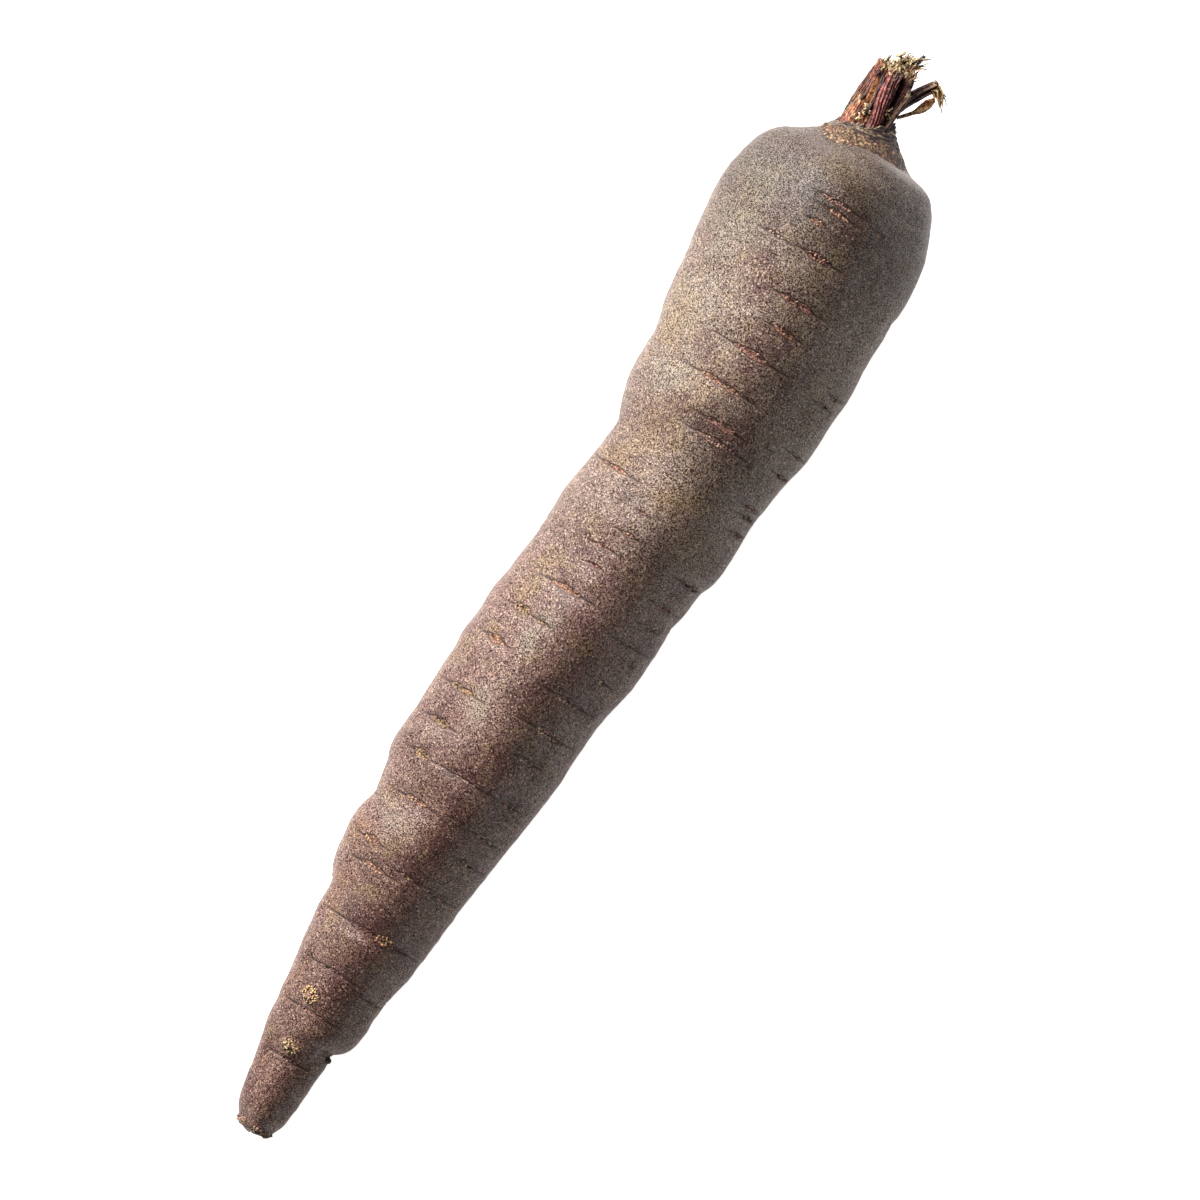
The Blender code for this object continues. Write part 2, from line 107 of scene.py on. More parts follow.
SLITS = [
    Slit(14.3, 7, 8.6, 0.24, 0.70, WINE_CORK),
    Slit(19.4, -85, 9.0, 0.30, 0.75, DARK_CORK),
    Slit(25.0, 15, 10.5, 0.20, 0.20, RED_CORK),
    Slit(33.0, -59, 6.5, 0.25, 0.20, TAN_CORK),
    Slit(34.6, 14, 11.2, 0.24, 0.70, WINE_CORK),
    Slit(45.0, -12, 24.8, 0.36, 1.00, WINE_CORK),
    Slit(56.7, 28, 10.2, 0.42, 0.45, ORANGE_CORK),
    Slit(58.5, -5, 4.8, 0.24, 0.20, TAN_CORK),
    Slit(58.3, -38, 11.8, 0.42, 0.35, DARK_CORK),
    Slit(61.2, 43, 7.2, 0.60, 0.15, ORANGE_CORK),
    Slit(66.9, -53, 9.7, 0.40, 0.45, DARK_CORK),
    Slit(72.4, 27, 9.8, 0.46, 0.60, ORANGE_CORK),
    Slit(73.0, -48, 9.3, 0.40, 0.30, DARK_CORK),
    Slit(81.0, 42, 8.4, 0.58, 0.55, TAN_CORK),
    Slit(81.4, -45, 9.0, 0.42, 0.45, DARK_CORK),
    Slit(81.2, -2, 9.0, 0.16, 0.60, DARK_CORK),
    Slit(88.4, 48, 9.3, 0.52, 0.60, TAN_CORK),
    Slit(90.8, -35, 7.0, 0.42, 0.50, DARK_CORK),
    Slit(96.0, 46, 11.4, 0.46, 0.45, TAN_CORK),
    Slit(97.4, -40, 14.2, 0.62, 0.55, DARK_CORK),
    Slit(105.0, -36, 13.2, 0.42, 0.60, DARK_CORK),
    Slit(108.0, 45, 8.5, 0.60, 0.40, ORANGE_CORK),
    Slit(111.8, -44, 7.1, 0.36, 0.20, DARK_CORK),
    Slit(115.9, 41, 7.2, 0.72, 0.30, TAN_CORK),
    Slit(115.6, 18, 3.3, 0.25, 0.10, TAN_CORK),
    Slit(117.6, -61, 1.6, 0.55, 0.20, DARK_CORK),
    Slit(120.8, -53, 12.0, 0.42, 0.30, DARK_CORK),
    Slit(124.0, 20, 13.2, 0.42, 0.50, ORANGE_CORK),
    Slit(125.8, -53, 6.3, 0.36, 0.20, DARK_CORK),
    Slit(130.8, 13, 3.3, 0.26, 0.10, RED_CORK),
    Slit(130.9, -58, 10.6, 0.50, 0.25, DARK_CORK),
    Slit(135.0, 16, 5.8, 0.30, 0.15, RED_CORK),
    Slit(137.3, -66, 12.0, 0.44, 0.55, DARK_CORK),
    Slit(139.6, 6, 5.2, 0.30, 0.10, RED_CORK),
    Slit(144.8, 9, 3.0, 0.25, 0.10, RED_CORK),
    Slit(149.8, 52, 13.6, 0.24, 0.60, ORANGE_CORK),
    Slit(151.0, -75, 9.3, 0.38, 0.20, DARK_CORK),
    Slit(155.0, -75, 9.2, 0.38, 0.20, DARK_CORK),
    Slit(157.0, -69, 7.9, 0.38, 0.20, DARK_CORK),
    Slit(164.3, -8, 14.0, 0.42, 0.35, PINK_CORK),
    Slit(165.7, -76, 9.3, 0.38, 0.30, DARK_CORK),
    Slit(167.6, -5, 10.5, 0.52, 0.45, RED_CORK),
    Slit(170.7, -69, 6.9, 0.32, 0.20, DARK_CORK),
    Slit(174.7, 10, 14.5, 0.42, 0.35, ORANGE_CORK),
    Slit(181.9, -63, 6.4, 0.32, 0.15, DARK_CORK),
    Slit(184.6, -70, 5.4, 0.32, 0.15, DARK_CORK),
    Slit(183.0, 1, 13.9, 0.48, 0.40, RED_CORK),
    Slit(190.2, -10, 8.1, 0.44, 0.20, ORANGE_CORK),
    Slit(196.5, -9, 11.3, 0.50, 0.40, RED_CORK),
    Slit(205.7, 20, 6.6, 0.26, 0.10, PINK_CORK),
    Slit(206.2, -7, 9.2, 0.48, 0.40, RED_CORK),
    Slit(211.9, 3, 5.0, 0.38, 0.10, ORANGE_CORK),
    Slit(215.4, -4, 8.3, 0.34, 0.35, ORANGE_CORK),
    Slit(216.4, -32, 2.9, 0.42, 0.10, ORANGE_CORK),
    Slit(217.4, -1, 10.5, 0.38, 0.20, RED_CORK),
]

# The turned-down side has its slits in two rows of side-root scars, level with those above.
draw = random.Random(2469)
UNDER_ROWS = (135, 225)
for above in list(SLITS[::2]):
    middle = draw.choice(UNDER_ROWS) + draw.uniform(-14, 14)
    cork = draw.choice((DARK_CORK, TAN_CORK, ORANGE_CORK, PINK_CORK))
    length, half_width, pinch = draw.uniform(6, 13), draw.uniform(0.3, 0.5), draw.uniform(0.3, 0.6)
    SLITS.append(Slit(above.at, middle, length, half_width, pinch, cork))
FLANK_SLITS = ((50.4, 96), (69.5, 92), (158.0, 100), (102.0, 97), (128.0, -98), (178.0, 94), (203.0, -96))
for at, middle in FLANK_SLITS:
    length, half_width = draw.uniform(7, 12), draw.uniform(0.3, 0.45)
    SLITS.append(Slit(at, middle, length, half_width, 0.45, draw.choice((TAN_CORK, DARK_CORK))))

RING_OFFSETS = (-0.95, -0.6, -0.3, 0.3, 0.6)
LEAST_RING_GAP = 0.2
MOST_RING_GAP = 0.62
ROOT_COLUMNS = 140
# The flank's last place, and the dome that closes the crown over it: distance from the tip, and share.
CROWN_AT = 230.2
CROWN_DOME = ((230.9, 0.85), (231.4, 0.6), (231.6, 0.3), (231.6, 0.0))
TIP_BULGE = 1.8
TIP_RINGS = 14
# How the skin swells and sinks: by how much, in swellings of what size, and how far these are drawn out
# round the root, as a share of its turn.
SWELLS = ((0.30, 13.0, 1.0), (0.13, 5.2, 1.0), (0.05, 2.1, 1.0), (0.07, 1.7, 0.22), (0.035, 1.0, 1.0))
# The flesh is drawn in for some way round a slit, and the slit itself is sunk, with a raised lip.
PINCH_REACH = 2.4
PINCH_END = 1.4
CORK_SINK = 0.24
CRACK_SINK = 0.17
LIP_RISE = 0.05
# The cork shows in the middle of a slit. Its ends close to a fine crack, which runs on and fades out.
CORK_SHARE = 0.66
CORK_SWELL = 1.4
CRACK_HALF = 0.3
CRACK_REACH = 1.6
CRACK_FADE = 0.6
SLIT_REACH = 1.5


def flowing(stations, at):
    """What the stations say at each distance, on a smooth curve through them."""
    places, values = stations[:, 0], stations[:, 1:]
    slopes = np.gradient(values, places, axis=0)
    slopes[1:-1] = (values[2:] - values[:-2]) / (places[2:] - places[:-2])[:, None]
    index = np.clip(np.searchsorted(places, at, side="right") - 1, 0, len(places) - 2)
    span = (places[index + 1] - places[index])[:, None]
    t = np.clip((at[:, None] - places[index][:, None]) / span, 0, 1)
    blend = t * t * (3 - 2 * t)
    rise = t * (1 - t) * span * (slopes[index] * (1 - t) - slopes[index + 1] * t)
    return values[index] + (values[index + 1] - values[index]) * blend + rise


def unit(vectors):
    """The same ways, each with length 1."""
    return vectors / (np.linalg.norm(vectors, axis=-1, keepdims=True) + 1e-9)


def drift(points, size, seed):
    """Smooth random swelling from -1 to 1 through space, in swellings of about that size."""
    cell = points / size + 7.31 * seed
    base = np.floor(cell).astype(np.int64)
    fade = cell - base
    fade = fade * fade * (3 - 2 * fade)
    total = np.zeros(len(points))
    for corner in np.ndindex(2, 2, 2):
        key = (base + corner) @ np.array((73856093, 19349663, 83492791)) + 40503 * seed
        key = (key ^ (key >> 13)) * 1274126177
        level = ((key ^ (key >> 17)) & 0xFFFF) / 32767.5 - 1
        total += level * np.prod(np.where(corner, fade, 1 - fade), axis=1)
    return total


def turned(turn, middle):
    """The shorter way round from middle to turn, in radians."""
    return (turn - math.radians(middle) + math.pi) % (2 * math.pi) - math.pi


def torn(at, turn, radius):
    """What the slits do to the skin at each place: how far it sinks, how near the nearest slit is (1 on
    its line), half its width there, which side of it this is, how plain the crack is, and its cork."""
    sink, close = np.zeros(len(at)), np.zeros(len(at))
    width, side, plain = np.zeros(len(at)), np.zeros(len(at)), np.zeros(len(at))
    cork = np.tile(np.array(TAN_CORK), (len(at), 1))
    for i, slit in enumerate(SLITS):
        near = np.nonzero(np.abs(at - slit.at) < 3 * PINCH_REACH)[0]
        share = turned(turn[near], slit.middle) * radius[near] / (slit.length / 2)
        reached = np.abs(share) < CRACK_REACH
        near, share = near[reached], share[reached]
        off = at[near] - slit.at
        half = CORK_SWELL * slit.half_width * np.sqrt(np.clip(1 - (share / CORK_SHARE) ** 2, 0, 1))
        half = half * (1 + 0.3 * np.sin(7 * share + i))
        crack = np.clip((CRACK_REACH - np.abs(share)) / CRACK_FADE, 0, 1)
        reach = np.sqrt(np.clip(1 - (share / PINCH_END) ** 2, 0, 1))
        sink[near] += slit.pinch * reach * np.exp(-((off / PINCH_REACH) ** 2))
        sink[near] += CORK_SINK * np.clip(1 - np.abs(off) / np.maximum(half, 0.06), 0, 1) * (half > 0.06)
        sink[near] += CRACK_SINK * crack * np.clip(1 - np.abs(off) / CRACK_HALF, 0, 1)
        sink[near] -= LIP_RISE * crack * np.clip(1 - np.abs(off + CRACK_HALF + half) / CRACK_HALF, 0, 1)
        nearness = np.clip(1 - np.abs(off) / SLIT_REACH, 0, 1)
        best = nearness > close[near]
        chosen = near[best]
        close[chosen], width[chosen], plain[chosen] = nearness[best], half[best], crack[best]
        side[chosen] = np.clip(off[best] / CRACK_HALF, -1, 1)
        cork[chosen] = slit.cork
    return sink, close, width, side, plain, cork


class Scar(NamedTuple):
    """A crumbly corky patch where a side root broke off: its place, middle in degrees and two reaches."""

    at: float
    middle: float
    reach_along: float
    reach_across: float
    cork: tuple


SCARS = (
    Scar(28.0, 25, 1.7, 2.3, (1.00, 0.60, 0.31)),
    Scar(16.9, 10, 1.3, 2.0, (1.00, 0.64, 0.33)),
    Scar(45.2, -20, 1.0, 2.7, (0.88, 0.50, 0.25)),
    Scar(20.5, 168, 1.6, 2.2, (0.90, 0.54, 0.28)),
    Scar(60.0, 205, 1.4, 2.5, (0.82, 0.47, 0.24)),
    Scar(110.0, 150, 1.3, 2.6, (0.84, 0.49, 0.25)),
)
SCAR_RISE, SCAR_ROUGHNESS = 0.28, 0.25
# The stump of a rootlet, in the notch near the tip.
STUMP_AT, STUMP_MIDDLE, STUMP_REACH, STUMP_RISE = 18.2, -78, 0.8, 1.0


def scarred(at, turn, radius):
    """How far inside a scar each place is, from 0 at its edge to 1, and the scar's colour."""
    inside, cork = np.zeros(len(at)), np.zeros((len(at), 3))
    for scar in SCARS:
        around = turned(turn, scar.middle) * radius
        off = np.hypot((at - scar.at) / scar.reach_along, around / scar.reach_across)
        here = np.clip(1.25 - off, 0, 1)
        cork[here > inside] = scar.cork
        inside = np.maximum(inside, here)
    return inside, cork


def skin(along, station, share, turn):
    """Points of the root's skin in millimetres in the part's frame, and what the slits do there. station
    is the place on the flank, and share runs from 1 there to 0 in the middle of the tip and the crown."""
    far, near = flowing(FLANKS, station).T
    height = flowing(AXIS_HEIGHTS, station)[:, 0]
    radius, middle = (far + near) / 2, (far - near) / 2
    radius = radius * (1 - FLAT_SIDES * (1 - np.cos(4 * turned(turn, ROW_TURN))))
    shape = np.stack((along, middle + radius * np.sin(turn), height + radius * np.cos(turn)), axis=1)
    rise = np.zeros(len(shape))
    for seed, (swell, size, drawn) in enumerate(SWELLS, 1):
        rise += swell * drift(shape * (1.0, drawn, drawn), size, seed)
    marks = torn(station, turn, radius)
    rise -= marks[0]
    scar, _ = scarred(station, turn, radius)
    rise += np.clip(scar, 0, 1) * (SCAR_RISE + SCAR_ROUGHNESS * drift(shape, 0.8, 6))
    stump = np.hypot(station - STUMP_AT, turned(turn, STUMP_MIDDLE) * radius) / STUMP_REACH
    rise += STUMP_RISE * np.clip(1 - stump * stump, 0, 1)
    ragged = np.clip(1 - share, 0, 1) * np.where(along < 10, 1.0, 0.2)
    skin_radius = (radius + rise) * share
    # The creases wander along the root as they go round it.
    wander = 0.45 * drift(shape, 22.0, 7) + 0.12 * drift(shape, 6.0, 8)
    x = TIP_X + along + wander * np.clip(station / 8, 0, 1) * np.clip((230.5 - station) / 5, 0, 1)
    x = x + ragged * (0.5 * drift(shape, 1.1, 9) - 0.2)
    y = AXIS_Y + middle + skin_radius * np.sin(turn)
    z = height + skin_radius * np.cos(turn)
    return np.stack((x, y, np.maximum(z, 0.0)), axis=1), marks


def tip_end(share):
    """How far the blunt tip goes past its last section, at a share of that section."""
    return -TIP_BULGE * (1 - share * share) ** 0.35


def root_rings():
    """The rings from the tip's middle to the crown's: closest at the slits. A ring has its distance from
    the tip, its place on the flank and its share of the section."""
    places = sorted({slit.at for slit in SLITS})
    for offset in RING_OFFSETS:
        for slit in SLITS:
            if min(abs(slit.at + offset - place) for place in places) > LEAST_RING_GAP:
                places.append(slit.at + offset)
    flank = [0.0]
    for place in [*sorted(places), CROWN_AT]:
        gap = place - flank[-1]
        steps = max(1, math.ceil(gap / MOST_RING_GAP))
        flank += [flank[-1] + gap * (i + 1) / steps for i in range(steps)]
    shares = [math.sin(math.pi / 2 * i / TIP_RINGS) for i in range(TIP_RINGS)]
    rings = [(tip_end(share), 0.0, share) for share in shares]
    rings += [(place, place, 1.0) for place in flank]
    rings += [(along, CROWN_AT, share) for along, share in CROWN_DOME]
    return np.array(rings)


def ringed(name, columns, rings):
    """A sphere whose rings are about to be moved along a grown body. Gives it with each point's row of
    the rings, its turn about them, and the row's own numbers."""
    bpy.ops.mesh.primitive_uv_sphere_add(segments=columns, ring_count=len(rings) - 1, radius=1)
    piece = bpy.context.object
    piece.name = piece.data.name = name
    ball = np.empty(len(piece.data.vertices) * 3)
    piece.data.vertices.foreach_get("co", ball)
    ball = ball.reshape(-1, 3)
    row = np.rint((1 - np.arccos(np.clip(ball[:, 2], -1, 1)) / math.pi) * (len(rings) - 1)).astype(int)
    return piece, np.arctan2(ball[:, 0], ball[:, 1]), rings[row]


def settle(piece, points):
    """Moves the piece's points to their places, given in millimetres, and shades it smooth."""
    piece.data.vertices.foreach_set("co", (points * MM).ravel())
    piece.data.update()
    bpy.context.view_layer.objects.active = piece
    bpy.ops.object.shade_smooth()


def remember(piece, name, values):
    """Keeps a number, or three, at each point of the piece, for its material to read."""
    kind = ("FLOAT", "value") if values.ndim == 1 else ("FLOAT_VECTOR", "vector")
    layer = piece.data.attributes.new(name, kind[0], "POINT")
    layer.data.foreach_set(kind[1], values.astype(np.float32).ravel())


root, root_turn, root_row = ringed("taproot", ROOT_COLUMNS, root_rings())
root_points, torn_here = skin(root_row[:, 0], root_row[:, 1], root_row[:, 2], root_turn)
settle(root, root_points)
far, near = flowing(FLANKS, root_row[:, 1]).T
scar, scar_cork = scarred(root_row[:, 1], root_turn, (far + near) / 2)
for name, values in zip(("close", "width", "side", "plain", "cork"), torn_here[1:]):
    remember(root, name, values)
remember(root, "scar", scar)
remember(root, "scar_cork", scar_cork)
remember(root, "tip", np.clip(1.2 * (1 - root_row[:, 2]), 0, 1) * (root_row[:, 0] < 10))

# Stains in the skin, seen from above: distance from the tip, distance across, and the two reaches.
STAINS = {
    "pale": ((213.4, 15.0, 6, 4), (215.6, 19.0, 5, 3), (111.8, 6.3, 5, 3), (117.1, 4.7, 4, 3),
             (97.4, 8.6, 5, 3), (93.6, 7.9, 4, 3), (66.6, 10.7, 4, 4), (202.0, 16.0, 9, 5),
             (185.0, 14.0, 9, 6), (172.0, 10.0, 6, 6)),
    "ochre": ((159.5, 8.0, 7, 5), (151.3, 10.9, 4, 4), (171.3, 3.6, 5, 4), (143.2, -13.7, 5, 4),
              (143.9, -10.7, 5, 4), (181.9, 15.6, 6, 4), (222.3, 1.9, 5, 8), (150.0, -3.0, 5, 6),
              (122.0, 12.0, 7, 3)),
    "maroon": ((88.5, -0.9, 5, 4), (83.0, 3.0, 4, 4), (73.5, 1.3, 5, 4), (67.2, 1.4, 4, 4),
               (58.7, 2.7, 5, 4), (47.6, 3.5, 4, 5), (41.0, 1.5, 4, 4), (33.0, 2.5, 3, 4),
               (10.0, 2.5, 4, 3), (101.0, -1.0, 5, 4), (133.0, 3.0, 6, 5), (120.0, 1.0, 5, 4)),
    "dark": ((46.0, 6.5, 4, 3), (166.0, 0.0, 3, 3), (72.5, 9.5, 3, 3), (81.0, 13.0, 3, 2),
             (134.5, 8.0, 4, 3), (124.5, 6.5, 3, 3), (215.5, 5.5, 4, 4), (91.0, 14.5, 3, 2),
             (81.0, -7.0, 4, 3), (146.0, 5.5, 4, 3), (57.0, 9.5, 3, 3), (29.5, 2.0, 4, 3),
             (101.5, 2.0, 4, 3), (220.5, 0.0, 4, 4), (15.0, 8.5, 3, 2)),
    "rust": ((31.3, 11.8, 5, 2), (25.0, 10.6, 4, 2), (15.4, 8.9, 3, 2), (61.0, 15.5, 5, 3),
             (49.0, 13.0, 5, 3), (12.0, 7.5, 3, 2)),
}
# The underside has the same stains, met in another order and place.
x, y, z = root_points.T
above = np.clip((z - 9) / 8, 0, 1)
for name, patches in STAINS.items():
    level = np.zeros(len(x))
    for i, (at, across, reach_along, reach_across) in enumerate(patches):
        near_patch = np.hypot((x - TIP_X - at) / reach_along, (y - AXIS_Y - across) / reach_across)
        level = np.maximum(level, np.exp(-near_patch ** 2) * above)
        across_below = (3 * i + 7) % 19 - 9
        below = np.hypot((x - TIP_X - 235 + at) / reach_along, (y - AXIS_Y - across_below) / reach_across)
        level = np.maximum(level, np.exp(-below ** 2) * (1 - above))
    remember(root, name, level)


class Mark:
    """A number or colour that varies over a finish: one output of one of its nodes."""

    def __init__(self, finish, output):
        self.finish, self.output = finish, output

    def __add__(self, other):
        return self.finish.maths("ADD", self, other)

    __radd__ = __add__

    def __sub__(self, other):
        return self.finish.maths("SUBTRACT", self, other)

    def __rsub__(self, other):
        return self.finish.maths("SUBTRACT", other, self)

    def __mul__(self, other):
        return self.finish.maths("MULTIPLY", self, other)

    __rmul__ = __mul__


class Finish:
    """A material written down node by node."""

    def __init__(self, name):
        self.material = bpy.data.materials.new(name)
        self.material.use_nodes = True
        self.nodes, self.links = self.material.node_tree.nodes, self.material.node_tree.links
        self.shader = self.nodes["Principled BSDF"]

    def add(self, kind, settings=None, sockets=None, output=0):
        """Adds a node: its settings first, then the values or links of its sockets."""
        node = self.nodes.new(kind)
        for name, value in (settings or {}).items():
            setattr(node, name, value)
        for name, value in (sockets or {}).items():
            self.join(node.inputs[name], value)
        return Mark(self, node.outputs[output])

    def join(self, socket, value):
        """Links a mark to a socket, or sets the socket to a number or colour."""
        if isinstance(value, Mark):
            self.links.new(value.output, socket)
        elif isinstance(value, tuple) and socket.type == "RGBA":
            socket.default_value = (*value, 1)
        else:
            socket.default_value = value

    def maths(self, operation, first, second):
        return self.add("ShaderNodeMath", {"operation": operation}, {0: first, 1: second})

    def place(self):
        return self.add("ShaderNodeTexCoord", output="Object")

    def stretched(self, place, scale):
        return self.add("ShaderNodeMapping", {"vector_type": "POINT"}, {"Vector": place, "Scale": scale})

    def kept(self, name, output="Fac"):
        """What the mesh keeps at its points under that name."""
        return self.add("ShaderNodeAttribute", {"attribute_name": name}, output=output)

    def noise(self, place, scale, detail, rough):
        sockets = {"Vector": place, "Scale": scale, "Detail": detail, "Roughness": rough}
        return self.add("ShaderNodeTexNoise", None, sockets)

    def speckle(self, place, size, detail=2.0, rough=0.5):
        """Noise from about 0.25 to 0.75, in specks of that many millimetres."""
        return self.noise(place, 1000.0 / size, detail, rough)

    def grains(self, place, size, output="Color"):
        """Small grains of that many millimetres: each one's own number from 0 to 1, or with Distance
        how far each place is from its grain's middle."""
        return self.add("ShaderNodeTexVoronoi", None, {"Vector": place, "Scale": 1000.0 / size}, output)

    def step(self, value, low, high, start=0.0, end=1.0):
        """start below low and end above high, with a soft change between."""
        return self.add("ShaderNodeMapRange", {"interpolation_type": "SMOOTHSTEP"}, {
            "Value": value, "From Min": low, "From Max": high, "To Min": start, "To Max": end,
        })

    def blend(self, share, first, second, way="MIX"):
        """Goes from the first colour to the second."""
        settings = {"data_type": "RGBA", "blend_type": way}
        return self.add("ShaderNodeMix", settings, {0: share, 6: first, 7: second}, 2)

    def stained(self, colour, tone, value, low, high, most=1.0):
        """A colour with a tone laid over it, from none where the value is low to most where it is high."""
        return self.blend(self.step(value, low, high, 0.0, most), colour, tone)

    def tinted(self, colour, tone):
        """One colour multiplied by another."""
        return self.blend(1.0, colour, tone, "MULTIPLY")

    def shaded(self, colour, level):
        """A colour made darker or lighter by a number."""
        return self.tinted(colour, self.add("ShaderNodeCombineColor", None, {0: level, 1: level, 2: level}))

    def coat(self, colour, rough, height=None, **constants):
        """Says what the finish is: its colour, roughness, and the height of its bumps in millimetres."""
        self.join(self.shader.inputs["Base Color"], colour)
        self.join(self.shader.inputs["Roughness"], rough)
        if height is not None:
            lifted = self.add("ShaderNodeBump", None, {"Height": height, "Strength": 1.0, "Distance": MM})
            self.join(self.shader.inputs["Normal"], lifted)
        for name, value in constants.items():
            self.shader.inputs[name.replace("_", " ")].default_value = value

    def dress(self, piece):
        piece.data.materials.append(self.material)


skin_finish = Finish("dusty_purple_skin")
place = skin_finish.place()
grain = skin_finish.grains(place, 0.205)
gap = skin_finish.grains(place, 0.235, "Distance")
coarse = skin_finish.grains(place, 0.62)
ragged = skin_finish.speckle(place, 0.6, 2, 0.6) - 0.5
mottle = skin_finish.speckle(place, 3.4, 5, 0.62)
cloud = skin_finish.speckle(place, 11.0, 4, 0.6)
wide = skin_finish.speckle(place, 34.0, 3, 0.5)
wrinkle = skin_finish.speckle(skin_finish.stretched(place, (1.0, 0.16, 0.16)), 0.9, 3, 0.6)
offset_place = skin_finish.add("ShaderNodeMapping", None, {"Vector": place, "Location": (0.31, 0.17, 0.23)})
bloom = skin_finish.speckle(offset_place, 6.5, 5, 0.6)
rub = skin_finish.speckle(offset_place, 2.2, 4, 0.6)
dust = skin_finish.grains(offset_place, 0.26)
flecked = skin_finish.speckle(offset_place, 1.5, 3, 0.7)

lengthwise = skin_finish.add("ShaderNodeSeparateXYZ", None, {0: place})
upper = skin_finish.step(lengthwise * 1000 + wide * 90, 35, 85)
colour = skin_finish.blend(upper, (0.33, 0.205, 0.180), (0.33, 0.25, 0.205))
colour = skin_finish.stained(colour, (0.20, 0.105, 0.095), cloud, 0.49, 0.63, 0.68)
colour = skin_finish.stained(colour, (0.38, 0.275, 0.155), bloom, 0.52, 0.66, 0.62)
colour = skin_finish.stained(colour, (0.34, 0.29, 0.26), mottle, 0.54, 0.70, 0.4)
colour = skin_finish.stained(colour, (0.18, 0.085, 0.080), rub, 0.56, 0.70, 0.42)
for name, tone, strength in (
    ("pale", (0.46, 0.43, 0.34), 0.55), ("ochre", (0.46, 0.32, 0.17), 0.5),
    ("maroon", (0.17, 0.065, 0.07), 0.6), ("rust", (0.44, 0.24, 0.13), 0.6),
    ("dark", (0.12, 0.055, 0.045), 0.6),
):
    patch = skin_finish.kept(name) + (mottle - 0.5) * 2.4
    colour = skin_finish.stained(colour, tone, patch, 0.15, 1.1, strength)
colour = skin_finish.stained(colour, (0.52, 0.36, 0.20), flecked, 0.56, 0.66, 0.5)
colour = skin_finish.stained(colour, (0.15, 0.075, 0.070), flecked, 0.42, 0.34, 0.5)
# Pale dust stands on the skin grain by grain, and between the grains the skin is dark.
powdery = grain * 0.4 + skin_finish.step(gap, 0.70, 0.28) * 0.6
powder = skin_finish.blend(skin_finish.step(powdery, 0.15, 0.85), (0.16, 0.10, 0.075), (1.85, 1.97, 2.02))
colour = skin_finish.tinted(colour, powder)
colour = skin_finish.shaded(colour, skin_finish.step(coarse, 0.2, 0.8, 0.95, 1.05))
colour = skin_finish.stained(colour, (0.95, 0.77, 0.63), dust, 0.81, 0.85, 0.85)
colour = skin_finish.stained(colour, (0.055, 0.026, 0.019), dust, 0.24, 0.19, 0.8)

# Near a slit: a light lip on its tip side, which is a painted highlight; the dark line of the tear, partly
# the crack's own dark and partly painted shadow, heaviest on its crown side; and crumbly cork in its
# middle.
away = (1.0 - skin_finish.kept("close")) * SLIT_REACH + ragged * 0.42
beside = away - skin_finish.kept("width")
plain = skin_finish.kept("plain")
crownward = skin_finish.step(skin_finish.kept("side"), -0.6, 0.6)
# Painted highlight: the lip on the tip side of the slit is lightened, as if lit.
lit_lip = skin_finish.step(beside, 0.50, 0.30) * (1.0 - crownward) * plain
colour = skin_finish.blend(lit_lip * 0.35, colour, (0.52, 0.36, 0.29))
# The dark line is partly the crack's own dark and partly painted shadow, heavier on the crown side.
line = skin_finish.step(beside, 0.36, 0.12) * plain * (0.78 + crownward * 0.17)
colour = skin_finish.blend(line, colour, (0.045, 0.018, 0.015))
in_slit = skin_finish.step(beside, 0.0, -0.08) * skin_finish.step(plain, 0.5, 0.9)
cork_tone = skin_finish.shaded(skin_finish.kept("cork", "Color"),
                               skin_finish.step(powdery, 0.30, 0.75, 0.12, 0.95))
colour = skin_finish.blend(in_slit, colour, cork_tone)
scar_tone = skin_finish.shaded(skin_finish.kept("scar_cork", "Color"),
                               skin_finish.step(powdery, 0.30, 0.75, 0.08, 0.8))
colour = skin_finish.stained(colour, scar_tone, skin_finish.kept("scar") + ragged * 0.8, 0.2, 0.45)
tip_tone = skin_finish.blend(skin_finish.step(coarse, 0.3, 0.7), (0.10, 0.06, 0.035), (0.42, 0.30, 0.16))
colour = skin_finish.stained(colour, tip_tone, skin_finish.kept("tip") + ragged * 0.6, 0.10, 0.35)

# The shoulder is darker, in painted shade where it turns towards the crown. The skin is redder towards
# the tip and greyer towards the crown.
# Painted shade: the skin is multiplied darker over the shoulder.
painted_shoulder_shade = skin_finish.step(lengthwise * 1000 + wide * 12 + (mottle - 0.5) * 10, 77, 99)
colour = skin_finish.tinted(colour, skin_finish.blend(painted_shoulder_shade, (1.0, 1.0, 1.0), (0.46, 0.46, 0.45)))
crownwards = skin_finish.step(lengthwise * 1000 + wide * 60, -110, 90)
lengthwise_tone = skin_finish.blend(crownwards, (0.56, 0.455, 0.398), (0.675, 0.62, 0.582))
colour = skin_finish.tinted(colour, lengthwise_tone)
rough = skin_finish.step(mottle, 0.3, 0.7, 0.42, 0.52) + in_slit * 0.25
height = powdery * 0.09 + coarse * 0.03 + ragged * 0.06 + wrinkle * 0.13 + mottle * 0.17
skin_finish.coat(colour, rough, height, Specular_IOR_Level=0.1, Coat_Roughness=0.5, Sheen_Weight=0.19,
                 Sheen_Roughness=0.45, Sheen_Tint=(1.0, 0.80, 0.72, 1.0))
skin_finish.join(skin_finish.shader.inputs["Coat Weight"], skin_finish.step(powdery, 0.15, 0.85, 0.0, 1.0))
skin_finish.dress(root)
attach(root, "root")
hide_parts("root")


# The cork. Wherever the skin tore, the root has healed itself with crumbs of dry cork, which fill the
# slits and stand on the scars. Each crumb is a knocked-about ball, pressed into the tear.
# How many crumbs lie on a square millimetre of a slit and of a scar, and how many on the whole tip.
SLIT_CRUMBS = 4.6
SCAR_CRUMBS = 7.0
TIP_CRUMBS = 330
